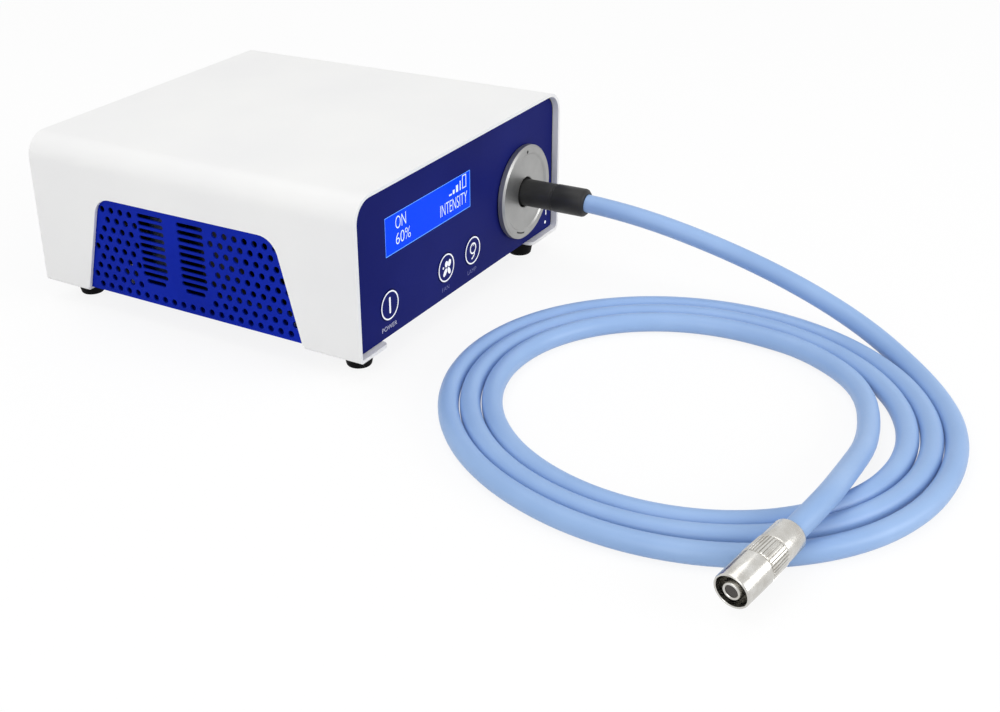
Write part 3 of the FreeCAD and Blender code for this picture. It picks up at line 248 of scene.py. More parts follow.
def clear_lens():
    """Ground and polished glass: clear, with a bright edge where it bends the light."""
    material, tree, shader, place = new_finish("polished_optical_glass")
    shader.inputs["Base Color"].default_value = colour("F2F8FA")
    shader.inputs["Transmission Weight"].default_value = 1.0
    shader.inputs["IOR"].default_value = 1.52
    haze_mm = 3.0
    haze = cloud(tree, place, haze_mm)
    tree.links.new(between(tree, haze, 0.01, 0.05), shader.inputs["Roughness"])
    return material


def printed_ink(name, code, glow=0.0):
    """Screen-printed ink: an even matt coat with slightly uneven cover."""
    material, tree, shader, place = new_finish(name)
    patch_mm, thinnest = 0.8, 0.92
    cover = cloud(tree, place, patch_mm)
    thin = [c * thinnest for c in colour(code)[:3]] + [1.0]
    shade = blended(tree, between(tree, cover, 0.0, 1.0), colour(code), thin)
    tree.links.new(shade, shader.inputs["Base Color"])
    shader.inputs["Roughness"].default_value = 0.6
    # A glow stands for the backlight on the display's segments; on the other inks it is painted
    # light.
    if glow:
        tree.links.new(shade, shader.inputs["Emission Color"])
        shader.inputs["Emission Strength"].default_value = glow
    return material


FINISH = {
    # Powder coat on steel: soft satin sheen with a fine orange peel.
    "white_coat": surface("white_powder_coat", "F5F5F4", "F1F1F1", 60, (0.38, 0.5), 1.6, 0.012),
    # The cover's inner faces carry painted shade: the same white coat drawn grey, since little
    # light reaches them, and set rougher with less shine.
    "inside_painted_shade": surface(
        "cover_inside_painted_shade", "C4C4C8", "BABABE", 25, (0.5, 0.6), 1.2, 0.015, specular=0.3
    ),
    # The same coat in blue, nearly without shine.
    "blue_coat": surface(
        "blue_powder_coat", "1029AB", "0E259F", 30, (0.45, 0.55), 1.4, 0.014, specular=0.04
    ),
    # Printed film over the front plate: an even satin, deep navy.
    "navy_film": surface(
        "navy_overlay_film", "1D2470", "181E66", 45, (0.42, 0.5), 0.9, 0.004, specular=0.03
    ),
    # The keys are moulded in the film's colour, a little smoother.
    "navy_key": surface(
        "navy_moulded_key", "1D2470", "191E66", 12, (0.4, 0.48), 0.7, 0.004, specular=0.03
    ),
    # Anodised aluminium, faced on a lathe: soft grey with fine rings. A tool's rings are about
    # 0.1 mm apart, which is too fine to show, so they are drawn at three times that and more.
    "dial_face": turned_metal(
        "turned_anodised_aluminium",
        "ABABAA",
        "A0A09F",
        (0.38, 0.48),
        (PORT_X, PORT_Z),
        0.35,
        0.003,
    ),
    # The same metal with its chamfer cut bright after anodising: a thin shining ring.
    "dial_rim": turned_metal(
        "polished_aluminium_edge", "F0F0F2", "E4E5E8", (0.12, 0.2), (PORT_X, PORT_Z), 0.3, 0.001
    ),
    # And its side and steps, which keep a darker coat.
    "dial_side": turned_metal(
        "anodised_aluminium_side", "3E3C4C", "343241", (0.3, 0.4), (PORT_X, PORT_Z), 0.4, 0.002
    ),
    # Enamel wiped into an engraved mark: flat black. The same flat black is painted shadow too, at
    # the dial's foot and round the front panel.
    "black_fill_and_painted_shadow": surface("black_paint_fill_and_painted_shadow", "0B0B0C", "101012", 4, (0.5, 0.6), 0.6, 0.004),
    # Moulded rubber and nylon: near black, with a faint bloom and a fine mould grain.
    "black_sleeve": surface(
        "moulded_black_sleeve", "2A2A2A", "222222", 8, (0.4, 0.52), 0.6, 0.02, specular=0.3
    ),
    "black_rubber": surface(
        "moulded_black_rubber", "08080A", "0D0D0F", 6, (0.6, 0.75), 0.7, 0.03, specular=0.08
    ),
    "black_nylon": surface("moulded_black_nylon", "1D1D1F", "242426", 14, (0.4, 0.55), 0.8, 0.012),
    # Extruded flexible jacket: an even milky light blue, slightly dulled by handling.
    "cable_jacket": surface("light_blue_jacket", "98B8E4", "8EAFDD", 35, (0.36, 0.48), 1.2, 0.01),
    # Nickel plate on turned brass: warm bright grey, its gloss broken by fine wear. Real scratches
    # are too fine to show, so the grain is drawn at half a millimetre.
    "nickel": surface(
        "nickel_plated_brass", "D3D2CE", "BDBAB4", 5, (0.16, 0.3), 0.5, 0.004, metallic=1.0
    ),
    # Painted shade in the connector's mouth: its bore and the narrow neck behind the knurled ring
    # drawn a dull dark brown, where they lie in shade.
    "mouth_painted_shade": surface(
        "dull_brown_painted_shade_in_mouth", "4A4138", "332C26", 3, (0.35, 0.5), 0.4, 0.01, metallic=0.7
    ),
    # Fibres glued and polished flat: dark and glossy, with a fine mottle of fibre ends.
    "fibre_end": surface("polished_fibre_bundle", "3A332E", "221E1B", 0.3, (0.1, 0.3), 0.12, 0.01),
    # Bright zinc plate on pressed steel: cool grey in small cloudy patches.
    "zinc_steel": surface(
        "zinc_plated_steel", "B9BCC0", "9EA3A8", 4, (0.3, 0.45), 0.5, 0.006, metallic=1.0
    ),
    # Bare aluminium with the lines of a mill or a die, drawn coarse enough to show.
    "milled_aluminium": ribbed("milled_aluminium", "C9CACC", "B4B5B8", 0.5, "Z", (0.3, 0.42)),
    "extruded_aluminium": ribbed("extruded_aluminium", "C4C6C8", "A9ABAE", 0.8, "X", (0.35, 0.5)),
    # Black anodised aluminium: a dark satin with no shine of its own.
    "black_anodised": surface(
        "black_anodised_aluminium", "1C1D21", "141519", 6, (0.4, 0.5), 0.6, 0.006, specular=0.3
    ),
    # Thin nickel on brass contacts: a pale warm metal.
    "spring_brass": surface(
        "nickel_plated_pins", "C9C4B4", "B5AF9C", 3, (0.2, 0.32), 0.4, 0.004, metallic=1.0
    ),
    # Tape wound over a coil: black and slightly creased.
    "wound_tape": surface("black_winding_tape", "2B2A29", "201F1F", 4, (0.25, 0.4), 1.0, 0.05),
    # Shrunk film round a can: smooth, glossy dark blue.
    "can_sleeve": surface(
        "shrunk_capacitor_sleeve", "1B2B4A", "16233D", 6, (0.25, 0.35), 1.2, 0.01
    ),
    # Phosphor powder in clear silicone over the lamp chip: an even yellow.
    "phosphor": surface("phosphor_in_silicone", "E8D23A", "DCC22E", 1.0, (0.3, 0.4), 0.2, 0.01),
    "display": lit_display(),
    "board": circuit_board("green_solder_mask_on_laminate", "1E7A45", "0F5430"),
    "dark_board": circuit_board("black_solder_mask_on_laminate", "1A2420", "101613"),
    "lens": clear_lens(),
    "white_ink": printed_ink("white_printed_ink", "F4F5F8"),
    # White print on the keys and beside the dial: an even white with a glow of painted light, a
    # little brighter than print.
    "white_print_painted_glow": printed_ink("white_print_with_painted_glow", "F4F5F8", 0.32),
    # Pale print for the POWER word; its slight glow is painted light.
    "pale_ink": printed_ink("pale_printed_ink", "DADCEC", 0.1),
    "faint_ink": printed_ink("faint_printed_ink", "7378B0"),
    "lit_segment": printed_ink("lit_display_segment", "DCEAFF", 0.4),
    # A painted glint: a thin glowing line round the display window, where its edge catches the
    # light.
    "window_painted_glint": printed_ink("window_edge_painted_glint", "5A9BFF", 0.7),
}

CAD_FINISHES = {
    "base_tray": "blue_coat",
    "corner_brackets": "zinc_steel",
    "front_panel": "navy_film",
    "display_window": "display",
    "rear_panel": "blue_coat",
    "display_board": "board",
    "display_frame": "zinc_steel",
    "display_glass": "display",
    "display_spacers": "zinc_steel",
    "key_board": "board",
    "tact_switches": "black_nylon",
    "key_spacers": "zinc_steel",
    "power_key": "navy_key",
    "fan_key": "navy_key",
    "lamp_key": "navy_key",
    "dial_hub": "milled_aluminium",
    "dial_encoder": "black_nylon",
    "light_socket": "milled_aluminium",
    "optics_bracket": "zinc_steel",
    "lens_holder": "black_nylon",
    "condenser_lens": "lens",
    "led_board": "board",
    "led_emitter": "phosphor",
    "heat_sink": "extruded_aluminium",
    "fan_frame": "black_nylon",
    "fan_rotor": "black_nylon",
    "inlet_housing": "black_nylon",
    "inlet_pins": "spring_brass",
    "fuse_drawer": "black_nylon",
    "main_rocker": "black_nylon",
    "power_board": "dark_board",
    "board_standoffs": "zinc_steel",
    "panel_screws": "zinc_steel",
    "board_screws": "zinc_steel",
    "transformer": "wound_tape",
    "capacitors": "can_sleeve",
    "board_heat_sinks": "black_anodised",
    "plug_ferrule": "nickel",
    # Nodes that a finer piece stands for keep their finish too.
    "wrap_cover": "white_coat",
    "grille_left": "blue_coat",
    "grille_right": "blue_coat",
    "rubber_feet": "black_rubber",
    "intensity_dial": "dial_face",
    "cable_plug": "black_sleeve",
    "cable_lead": "cable_jacket",
    "cable_coil": "cable_jacket",
    "cable_tail": "cable_jacket",
    "connector_rear": "nickel",
    "connector_ring": "nickel",
    "connector_sleeve": "nickel",
    "connector_core": "nickel",
    "fibre_face": "fibre_end",
}
for node_name, finish in CAD_FINISHES.items():
    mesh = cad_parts[node_name].data
    mesh.materials.clear()
    mesh.materials.append(FINISH[finish])


# ---------------------------------------------------------------- making pieces


SHARP_DEGREES = 35


def piece_from(name, mesh, finishes):
    """Put a mesh into the scene with its finishes, smooth but for its sharp edges."""
    thing = bpy.data.objects.new(name, mesh)
    bpy.context.scene.collection.objects.link(thing)
    mesh.materials.clear()
    for finish in finishes:
        mesh.materials.append(FINISH[finish])
    mesh.shade_smooth()
    mesh.set_sharp_from_angle(angle=math.radians(SHARP_DEGREES))
    return thing


def seat(thing, body, stands_for=()):
    """Let a piece move with a body; it may stand for CAD nodes."""
    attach(thing, body)
    if stands_for:
        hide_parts(*stands_for)
    return thing


def soften(thing, width_mm):
    """Break the sharp edges, so that they catch the light as real ones do."""
    bevel = thing.modifiers.new("broken_edges", "BEVEL")
    bevel.width = width_mm * MM
    bevel.segments = 2
    bevel.limit_method = "ANGLE"
    bevel.angle_limit = math.radians(40)
    bevel.harden_normals = True


def flattened(thing):
    """The mesh of an object with its modifiers applied; the object itself goes."""
    graph = bpy.context.evaluated_depsgraph_get()
    mesh = bpy.data.meshes.new_from_object(thing.evaluated_get(graph), depsgraph=graph)
    bpy.data.objects.remove(thing)
    return mesh


def turned(name, outline, start, axis, finishes, segments=96):
    """Turn (distance along the axis, radius, finish) points, in millimetres, about an axis."""
    build = bmesh.new()
    spin = Vector(axis).to_track_quat("Z", "Y")
    rings = []
    for distance, radius, *_ in outline:
        if radius == 0:
            rings.append([build.verts.new((0, 0, distance * MM))])
            continue
        ring = []
        for i in range(segments):
            bearing = 2 * math.pi * i / segments
            x, y = radius * math.cos(bearing) * MM, radius * math.sin(bearing) * MM
            ring.append(build.verts.new((x, y, distance * MM)))
        rings.append(ring)
    for number, (first, second) in enumerate(zip(rings, rings[1:])):
        finish = outline[number][2] if len(outline[number]) > 2 else 0
        for i in range(segments):
            following = (i + 1) % segments
            corners = [first[i % len(first)], first[following % len(first)]]
            corners += [second[following % len(second)], second[i % len(second)]]
            face = build.faces.new(list(dict.fromkeys(corners)))
            face.material_index = finish
    bmesh.ops.recalc_face_normals(build, faces=build.faces)
    matrix = Matrix.Translation(Vector(start) * MM) @ spin.to_matrix().to_4x4()
    bmesh.ops.transform(build, matrix=matrix, verts=build.verts)
    mesh = bpy.data.meshes.new(name)
    build.to_mesh(mesh)
    build.free()
    return piece_from(name, mesh, finishes)


# Drawings are made in two coordinates; these lay them on the front, on a side or on the rear.
ON_FRONT = Matrix(((1, 0, 0), (0, 0, -1), (0, 1, 0)))
ON_SIDE = Matrix(((0, 0, 1), (1, 0, 0), (0, 1, 0)))
ON_REAR = Matrix(((-1, 0, 0), (0, 0, 1), (0, 1, 0)))


def plate_mesh(name, loops, gauge_mm, edge_mm=0.0):
    """A flat plate from closed loops in millimetres; a loop inside another is a hole."""
    curve = bpy.data.curves.new(name, "CURVE")
    curve.dimensions = "2D"
    curve.fill_mode = "BOTH"
    curve.extrude = (gauge_mm / 2 - edge_mm) * MM
    curve.bevel_depth = edge_mm * MM
    curve.bevel_resolution = 0
    curve.offset = -edge_mm * MM
    for loop in loops:
        spline = curve.splines.new("POLY")
        spline.points.add(len(loop) - 1)
        for point, (u, v) in zip(spline.points, loop):
            point.co = (u * MM, v * MM, 0, 1)
        spline.use_cyclic_u = True
    drawing = bpy.data.objects.new(name, curve)
    bpy.context.scene.collection.objects.link(drawing)
    mesh = flattened(drawing)
    bpy.data.curves.remove(curve)
    return mesh


def plate(name, loops, gauge_mm, lay, level_mm, finishes, edge_mm=0.0):
    """A plate laid on the front or on a side, its middle at a level across it."""
    mesh = plate_mesh(name, loops, gauge_mm, edge_mm)
    mesh.transform(lay.to_4x4())
    across = Vector((1, 0, 0) if lay is ON_SIDE else (0, 1, 0))
    mesh.transform(Matrix.Translation(across * level_mm * MM))
    return piece_from(name, mesh, finishes)


def circle(u, v, radius, count=28):
    """Points round a circle."""
    steps = [2 * math.pi * i / count for i in range(count)]
    return [(u + radius * math.cos(a), v + radius * math.sin(a)) for a in steps]


def arc(u, v, radius, first, last, count):
    """Points of an arc, its bearings in degrees."""
    steps = [math.radians(first + (last - first) * i / count) for i in range(count + 1)]
    return [(u + radius * math.cos(a), v + radius * math.sin(a)) for a in steps]


def capsule(u, v, length, width, count=8):
    """A level slot's outline with round ends."""
    half, radius = (length - width) / 2, width / 2
    right = arc(u + half, v, radius, -90, 90, count)
    left = arc(u - half, v, radius, 90, 270, count)
    return right + left


def rectangle(left, foot, width, height):
    """The corners of a level rectangle."""
    right, head = left + width, foot + height
    return [(left, foot), (right, foot), (right, head), (left, head)]


def outlined(left, foot, width, height, pen):
    """A rectangle drawn as a line of that width inside its edge."""
    outer = rectangle(left, foot, width, height)
    return [outer, rectangle(left + pen, foot + pen, width - 2 * pen, height - 2 * pen)]


def ellipse(u, v, half_length, half_width, lean_degrees, count=20):
    """An ellipse whose long axis leans from level by that much."""
    lean = math.radians(lean_degrees)
    points = circle(0, 0, 1.0, count)
    along = [(half_length * p, half_width * q) for p, q in points]
    return [
        (u + p * math.cos(lean) - q * math.sin(lean), v + p * math.sin(lean) + q * math.cos(lean))
        for p, q in along
    ]


def stroke(points, width):
    """The outline of a pen stroke along a line of points."""
    left, right = [], []
    for i, point in enumerate(points):
        before = Vector(points[max(i - 1, 0)])
        after = Vector(points[min(i + 1, len(points) - 1)])
        along = (after - before).normalized()
        side = Vector((-along.y, along.x)) * width / 2
        left.append(tuple(Vector(point) + side))
        right.append(tuple(Vector(point) - side))
    return left + right[::-1]


# ---------------------------------------------------------------- light cable

# The jacket's centre line: from the plug to the table, nearly three turns, and the raised tail
# that lies over them, with the connector at its end.
LEAD_POINTS = [
    (51.0, -117.0, 37.4),
    (50.9, -137.9, 36.7),
    (55.4, -174.2, 28.0),
    (54.8, -209.5, 18.5),
    (47.6, -241.3, 9.5),
    (29.0, -267.8, 4.2),
]
TAIL_POINTS = [
    (24.3, -229.2, 4.0),
    (4.7, -257.0, 4.0),
    (-34.2, -271.0, 5.5),
    (-74.5, -273.7, 12.6),
    (-99.8, -274.6, 16.5),
    (-117.9, -271.0, 14.0),
]
CABLE_RADIUS = 4.0
COIL_X, COIL_Y = -41.9, -205.5
STEPS_A_TURN = 24
COIL_STEPS = range(-2, 67)
# How much further out some of the first turn's points lie, where the turn is loose.
LOOSE = {-1: -0.15, 0: -0.25, 1: 0.8, 2: 1.9, 3: 2.3, 4: 2.1, 5: 1.4, 6: 0.6}


def coil_point(step):
    """A control point of the coil, which lies on the table and is a little oval."""
    widest, narrower_a_turn, oval, long_axis_degrees = 93.6, 8.25, 2.8, 58.5
    # The smooth line cuts inside its control points by this share of the radius.
    outside_the_line = 1.0086
    turns = step / STEPS_A_TURN
    bearing_degrees = 270 - 360 * turns
    stretch = math.cos(math.radians(2 * (bearing_degrees - long_axis_degrees)))
    radius = (widest - narrower_a_turn * turns + oval * stretch) * outside_the_line
    radius += LOOSE.get(step, 0.0)
    bearing = math.radians(bearing_degrees)
    x, y = COIL_X + radius * math.cos(bearing), COIL_Y + radius * math.sin(bearing)
    return (x, y, CABLE_RADIUS)


def lay_cable():
    """The jacket, on one smooth line through its whole length."""
    route = LEAD_POINTS + [coil_point(step) for step in COIL_STEPS] + TAIL_POINTS
    curve = bpy.data.curves.new("light_cable", "CURVE")
    curve.dimensions = "3D"
    curve.bevel_depth = CABLE_RADIUS * MM
    curve.bevel_resolution = 8
    curve.resolution_u = 6
    curve.use_fill_caps = True
    spline = curve.splines.new("NURBS")
    spline.points.add(len(route) - 1)
    for point, place in zip(spline.points, route):
        point.co = (*(Vector(place) * MM), 1)
    spline.order_u = 3
    spline.use_endpoint_u = True
    curve.materials.append(FINISH["cable_jacket"])
    cable = bpy.data.objects.new("light_cable", curve)
    bpy.context.scene.collection.objects.link(cable)
    seat(cable, "light_guide", ("cable_lead", "cable_coil", "cable_tail"))
    return cable


def make_plug():
    """The black sleeve on the cable's end: a plain nose in the dial's eye, and a grip."""
    outline = [
        (0.0, 0.0),
        (0.0, 5.7),
        (0.4, 6.1),
        (23.3, 6.1),
        (23.5, 5.8),
        (24.2, 5.8),
        (24.5, 6.05),
        (24.8, 6.25),
        (37.9, 6.25),
        (38.5, 6.05),
        (39.3, 5.3),
        (39.5, 5.0),
        (39.5, 4.2),
        (38.2, 4.05),
        (38.2, 0.0),
    ]
    start = (PORT_X, PLUG_FACE, PORT_Z)
    sleeve = turned("plug_sleeve", outline, start, (0, -1, 0), ["black_sleeve"])
    return seat(sleeve, "light_guide", ("cable_plug",))


CONNECTOR_START = Vector(TAIL_POINTS[-1])
CONNECTOR_AXIS = (CONNECTOR_START - Vector(TAIL_POINTS[-2])).normalized()


def make_connector():
    """Four turned pieces on one line, and the polished end of the fibres in the middle."""
    steel = "steel_ferrule"
    rear = [
        (0.3, 0.0), (0.3, 4.1), (0.0, 4.3), (0.0, 5.2), (0.25, 5.5), (0.8, 5.7), (9.6, 5.8),
        (9.8, 5.6), (10.0, 5.55), (10.0, 0.0),
    ]
    # In the mouth, points marked 1 begin the painted shade: the neck behind the knurled ring and
    # the bore.
    sleeve = [
        (18.9, 0.0), (18.9, 5.6, 1), (19.3, 5.6), (19.5, 6.3), (32.0, 6.2), (32.3, 6.1),
        (32.5, 5.9), (32.5, 5.55), (32.3, 5.4, 1), (21.6, 5.3, 1), (21.5, 0.0, 1),
    ]
    core = [
        (21.5, 0.0), (21.5, 3.5), (29.0, 3.4), (32.2, 3.1), (32.5, 2.85), (32.5, 2.4),
        (32.3, 2.2), (32.0, 2.15), (32.0, 0.0),
    ]
    face = [(32.2, 0.0), (32.2, 2.0), (32.1, 2.13), (32.0, 2.13), (32.0, 0.0)]
    parts = [
        ("connector_barrel", rear, ["nickel"], steel, ("connector_rear",)),
        ("connector_mouth", sleeve, ["nickel", "mouth_painted_shade"], steel, ("connector_sleeve",)),
        ("connector_tube", core, ["nickel"], steel, ("connector_core",)),
        ("fibre_end", face, ["fibre_end"], "fibre_black", ("fibre_face",)),
    ]
    made = []
    for name, outline, finishes, slot, stands_for in parts:
        thing = turned(name, outline, CONNECTOR_START, CONNECTOR_AXIS, finishes)
        made.append(seat(thing, "light_guide", stands_for))
    return made + [make_knurl()]


def make_knurl():
    """The straight-knurled ring between the barrel and the mouth."""
    flutes, crest, root = 34, 6.22, 5.8
    # Distance along the ring, and how much further out its crests and roots lie there.
    levels = [(10.0, -0.45), (10.3, -0.2), (18.6, 0.05), (18.9, -0.25)]
    build = bmesh.new()
    rings = []
    for distance, swell in levels:
        ring = []
        for i in range(flutes):
            for share, radius in ((0.0, crest), (0.4, crest), (0.55, root), (0.85, root)):
                bearing = 2 * math.pi * (i + share) / flutes
                reach = (radius + swell) * MM
                place = (reach * math.cos(bearing), reach * math.sin(bearing), distance * MM)
                ring.append(build.verts.new(place))
        rings.append(ring)
    for first, second in zip(rings, rings[1:]):
        for i in range(len(first)):
            following = (i + 1) % len(first)
            build.faces.new((first[i], first[following], second[following], second[i]))
    build.faces.new(rings[0])
    build.faces.new(rings[-1])
    bmesh.ops.recalc_face_normals(build, faces=build.faces)
    spin = CONNECTOR_AXIS.to_track_quat("Z", "Y").to_matrix().to_4x4()
    place = Matrix.Translation(CONNECTOR_START * MM) @ spin
    bmesh.ops.transform(build, matrix=place, verts=build.verts)
    mesh = bpy.data.meshes.new("knurled_ring")
    build.to_mesh(mesh)
    build.free()
    thing = piece_from("knurled_ring", mesh, ["nickel"])
    mesh.set_sharp_from_angle(angle=math.radians(20))
    return seat(thing, "light_guide", ("connector_ring",))


cable = lay_cable()
on_the_cable = [make_plug(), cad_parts["plug_ferrule"], *make_connector()]


# ---------------------------------------------------------------- case

# How far behind the case's middle the side openings stand.
CUT_SHIFT = 0.9
CUT_HEAD, CUT_FOOT_HALF, CUT_HEAD_HALF = 54.9, 58.7, 47.5
LEFT_TAB_END, RIGHT_TAB_END = -62.5, 57.0


def bent_sheet_outline():
    """The cover's section, seen from the front: outside round, then back along the inside."""
    foot, head, gauge = 8.9, CASE_HEAD, 1.5
    bend, left_tab_bend, right_tab_bend = 10.5, 1.7, 3.6
    bend_x = HALF_WIDTH - bend
    left_tab_x, right_tab_x = left_tab_bend - HALF_WIDTH, HALF_WIDTH - right_tab_bend
    outside, inside = [], []
    for line, shift in ((outside, 0.0), (inside, gauge)):
        line.append((LEFT_TAB_END, foot + shift))
        line += arc(left_tab_x, foot + left_tab_bend, left_tab_bend - shift, 270, 180, 6)
        line += arc(-bend_x, head - bend, bend - shift, 180, 90, 16)
        line += arc(bend_x, head - bend, bend - shift, 90, 0, 16)
        line += arc(right_tab_x, foot + right_tab_bend, right_tab_bend - shift, 0, -90, 6)
        line.append((RIGHT_TAB_END, foot + shift))
    return outside, inside


def side_cut_outline():
    """The opening in both sides, in Y and Z: narrower at its head, with round head corners."""
    foot, radius = 11.4, 9.5
    # Under its foot the cut opens, so that it leaves the sheet's lower edge cleanly.
    flare, under_the_sheet = 2.0, 7.9
    lean = math.degrees(math.atan2(CUT_HEAD - foot, CUT_FOOT_HALF - CUT_HEAD_HALF))
    inset = radius / math.tan(math.radians((180 - lean) / 2))
    turn_z = CUT_HEAD - radius
    right = arc(CUT_SHIFT + CUT_HEAD_HALF - inset, turn_z, radius, 90 - lean, 90, 8)
    left = arc(CUT_SHIFT - CUT_HEAD_HALF + inset, turn_z, radius, 90, 90 + lean, 8)
    front, rear = CUT_SHIFT - CUT_FOOT_HALF, CUT_SHIFT + CUT_FOOT_HALF
    loop = [(rear + flare, under_the_sheet), (rear, foot)]
    loop += right + left
    loop += [(front, foot), (front - flare, under_the_sheet)]
    return loop


def swept(build, loop, direction):
    """Faces between a loop of points and its copy moved along a direction."""
    first = [build.verts.new(Vector(p) * MM) for p in loop]
    second = [build.verts.new((Vector(p) + Vector(direction)) * MM) for p in loop]
    count = len(loop)
    for i in range(count):
        following = (i + 1) % count
        build.faces.new((first[i], first[following], second[following], second[i]))
    return first, second


def make_cover():
    """One white sheet bent over the top and both sides, with four tabs turned in at its foot."""
    outside, inside = bent_sheet_outline()
    build = bmesh.new()
    count = len(outside)
    loop = [(x, -HALF_DEPTH, z) for x, z in outside + inside[::-1]]
    front, rear = swept(build, loop, (0, 2 * HALF_DEPTH, 0))
    for ring in (front, rear):
        for i in range(count - 1):
            mirror = 2 * count - 1 - i
            build.faces.new((ring[i], ring[i + 1], ring[mirror - 1], ring[mirror]))
    bmesh.ops.recalc_face_normals(build, faces=build.faces)
    mesh = bpy.data.meshes.new("sheet")
    build.to_mesh(mesh)
    build.free()
    sheet = bpy.data.objects.new("sheet", mesh)
    bpy.context.scene.collection.objects.link(sheet)

    build = bmesh.new()
    past_the_side = 90.0
    loop = [(-past_the_side, y, z) for y, z in side_cut_outline()]
    for ring in swept(build, loop, (2 * past_the_side, 0, 0)):
        build.faces.new(ring)
    bmesh.ops.recalc_face_normals(build, faces=build.faces)
    punch_mesh = bpy.data.meshes.new("punch")
    build.to_mesh(punch_mesh)
    build.free()
    punch = bpy.data.objects.new("punch", punch_mesh)
    bpy.context.scene.collection.objects.link(punch)
    trim = sheet.modifiers.new("side_openings", "BOOLEAN")
    trim.operation = "DIFFERENCE"
    trim.solver = "EXACT"
    trim.object = punch
    mesh = flattened(sheet)
    bpy.data.objects.remove(punch)
    round_tab_corners(mesh)
    # The second finish is painted shade on the sheet's inner faces.
    cover = piece_from("cover_sheet", mesh, ["white_coat", "inside_painted_shade"])
    soften(cover, 0.3)
    return seat(cover, "case", ("wrap_cover",))


def round_tab_corners(mesh):
    """Round the free corners of the four tabs, and give the inner faces their painted shade."""
    close_to = 0.01 * MM
    build = bmesh.new()
    build.from_mesh(mesh)
    bmesh.ops.dissolve_limit(
        build, angle_limit=math.radians(1), verts=build.verts, edges=build.edges
    )
    corners = [
        edge
        for edge in build.edges
        if all(
            min(abs(v.co.x - LEFT_TAB_END * MM), abs(v.co.x - RIGHT_TAB_END * MM)) < close_to
            and abs(abs(v.co.y) - HALF_DEPTH * MM) < close_to
            for v in edge.verts
        )
    ]
    bmesh.ops.bevel(
        build, geom=corners, offset=2.5 * MM, segments=5, profile=0.5, affect="EDGES"
    )
    mark_inside(build)
    build.to_mesh(mesh)
    build.free()


def mark_inside(build):
    """Give the cover's inner faces its second finish, a painted shade; the cut edges keep the
    first.
    """
    # Just past the sheet's inner faces at its sides and tabs, and its height's middle.
    half_inside, floor, middle = 81.05, 10.35, 43.0
    build.normal_update()
    for face in build.faces:
        x, _, z = face.calc_center_median() / MM
        inward = face.normal.x * x + face.normal.z * (z - middle) < 0
        if inward and abs(x) < half_inside and z > floor and abs(face.normal.y) < 0.5:
            face.material_index = 1


# The slots of a side plate: the middles of the two columns, and the sizes in them.
SLOT_COLUMNS = (20.4, -1.4)
SLOT_HEAD, SLOT_PITCH, LAST_SLOT = 50.3, 3.3, 9
SLOT_LENGTH, LAST_SLOT_LENGTH, SLOT_WIDTH = 14.2, 10.8, 2.0


def slot_loops():
    """Two columns of ten level slots, the last one shorter."""
    loops = []
    for column in SLOT_COLUMNS:
        for i in range(LAST_SLOT + 1):
            length = LAST_SLOT_LENGTH if i == LAST_SLOT else SLOT_LENGTH
            loops.append(capsule(column, SLOT_HEAD - SLOT_PITCH * i, length, SLOT_WIDTH, 5))
    return loops


def hole_loops():
    """Staggered rows of round holes, as far as the side opening shows them."""
    pitch, row_pitch, radius, lowest_row = 5.2, 4.5, 1.45, 13.5
    foot, bare_edge, bare_head = 10.4, 0.75, 0.9
    slope = (CUT_FOOT_HALF - CUT_HEAD_HALF) / (CUT_HEAD - foot)
    bare_by_a_slot = 3.0
    margin = (SLOT_LENGTH + bare_by_a_slot) / 2 + 0.4
    rear_slots, front_slots = SLOT_COLUMNS
    lowest_slot = SLOT_HEAD - LAST_SLOT * SLOT_PITCH - row_pitch * 0.8
    loops = []
    row, z = 0, lowest_row
    while z < CUT_HEAD - bare_head:
        reach = CUT_FOOT_HALF - slope * (z - foot) - bare_edge
        steps = int(reach // pitch) + 1
        for step in range(-steps, steps + 1):
            from_middle = step * pitch + pitch / 2 * (row % 2)
            y = CUT_SHIFT + from_middle
            by_the_slots = front_slots - margin < y < rear_slots + margin and lowest_slot < z
            if abs(from_middle) < reach and not by_the_slots:
                loops.append(circle(y, z, radius, 20))
        row += 1
        z += row_pitch
    return loops


def make_grilles():
    """The perforated plates behind the side openings."""
    half_length, foot, head = 81.5, 11.9, 66.2
    gauge, middle_x = 1.0, 80.2
    edge = [(-half_length, foot), (half_length, foot), (half_length, head), (-half_length, head)]
    loops = [edge, *slot_loops(), *hole_loops()]
    for side, level in (("left", -middle_x), ("right", middle_x)):
        name = f"grille_plate_{side}"
        thing = plate(name, loops, gauge, ON_SIDE, level, ["blue_coat"], edge_mm=0.12)
        seat(thing, "case", (f"grille_{side}",))


def make_feet():
    """Four turned rubber feet with a chamfered sole, hollow where the screw goes up."""
    outline = [
        (8.9, 0.0), (8.9, 6.3), (8.7, 6.65), (8.3, 6.75), (7.2, 6.55), (1.2, 5.4), (0.5, 5.2),
        (0.15, 4.9), (0.0, 4.5), (0.0, 3.0), (0.2, 2.8), (3.4, 2.7), (3.4, 0.0),
    ]
    foot_x, foot_y = 67.0, 74.5
    places = [(x, y) for x in (-foot_x, foot_x) for y in (-foot_y, foot_y)]
    meshes = []
    for i, (x, y) in enumerate(places):
        foot = turned(f"foot_{i}", outline, (x, y, 0), (0, 0, 1), ["black_rubber"], 64)
        meshes.append(foot.data)
        bpy.data.objects.remove(foot)
    feet = piece_from("foot_pads", merged("foot_pads", meshes), ["black_rubber"])
    return seat(feet, "case", ("rubber_feet",))


def merged(name, meshes):
    """One mesh from several."""
    build = bmesh.new()
    for mesh in meshes:
        build.from_mesh(mesh)
    whole = bpy.data.meshes.new(name)
    build.to_mesh(whole)
    build.free()
    return whole


# ---------------------------------------------------------------- front


INK_GAUGE = 0.04


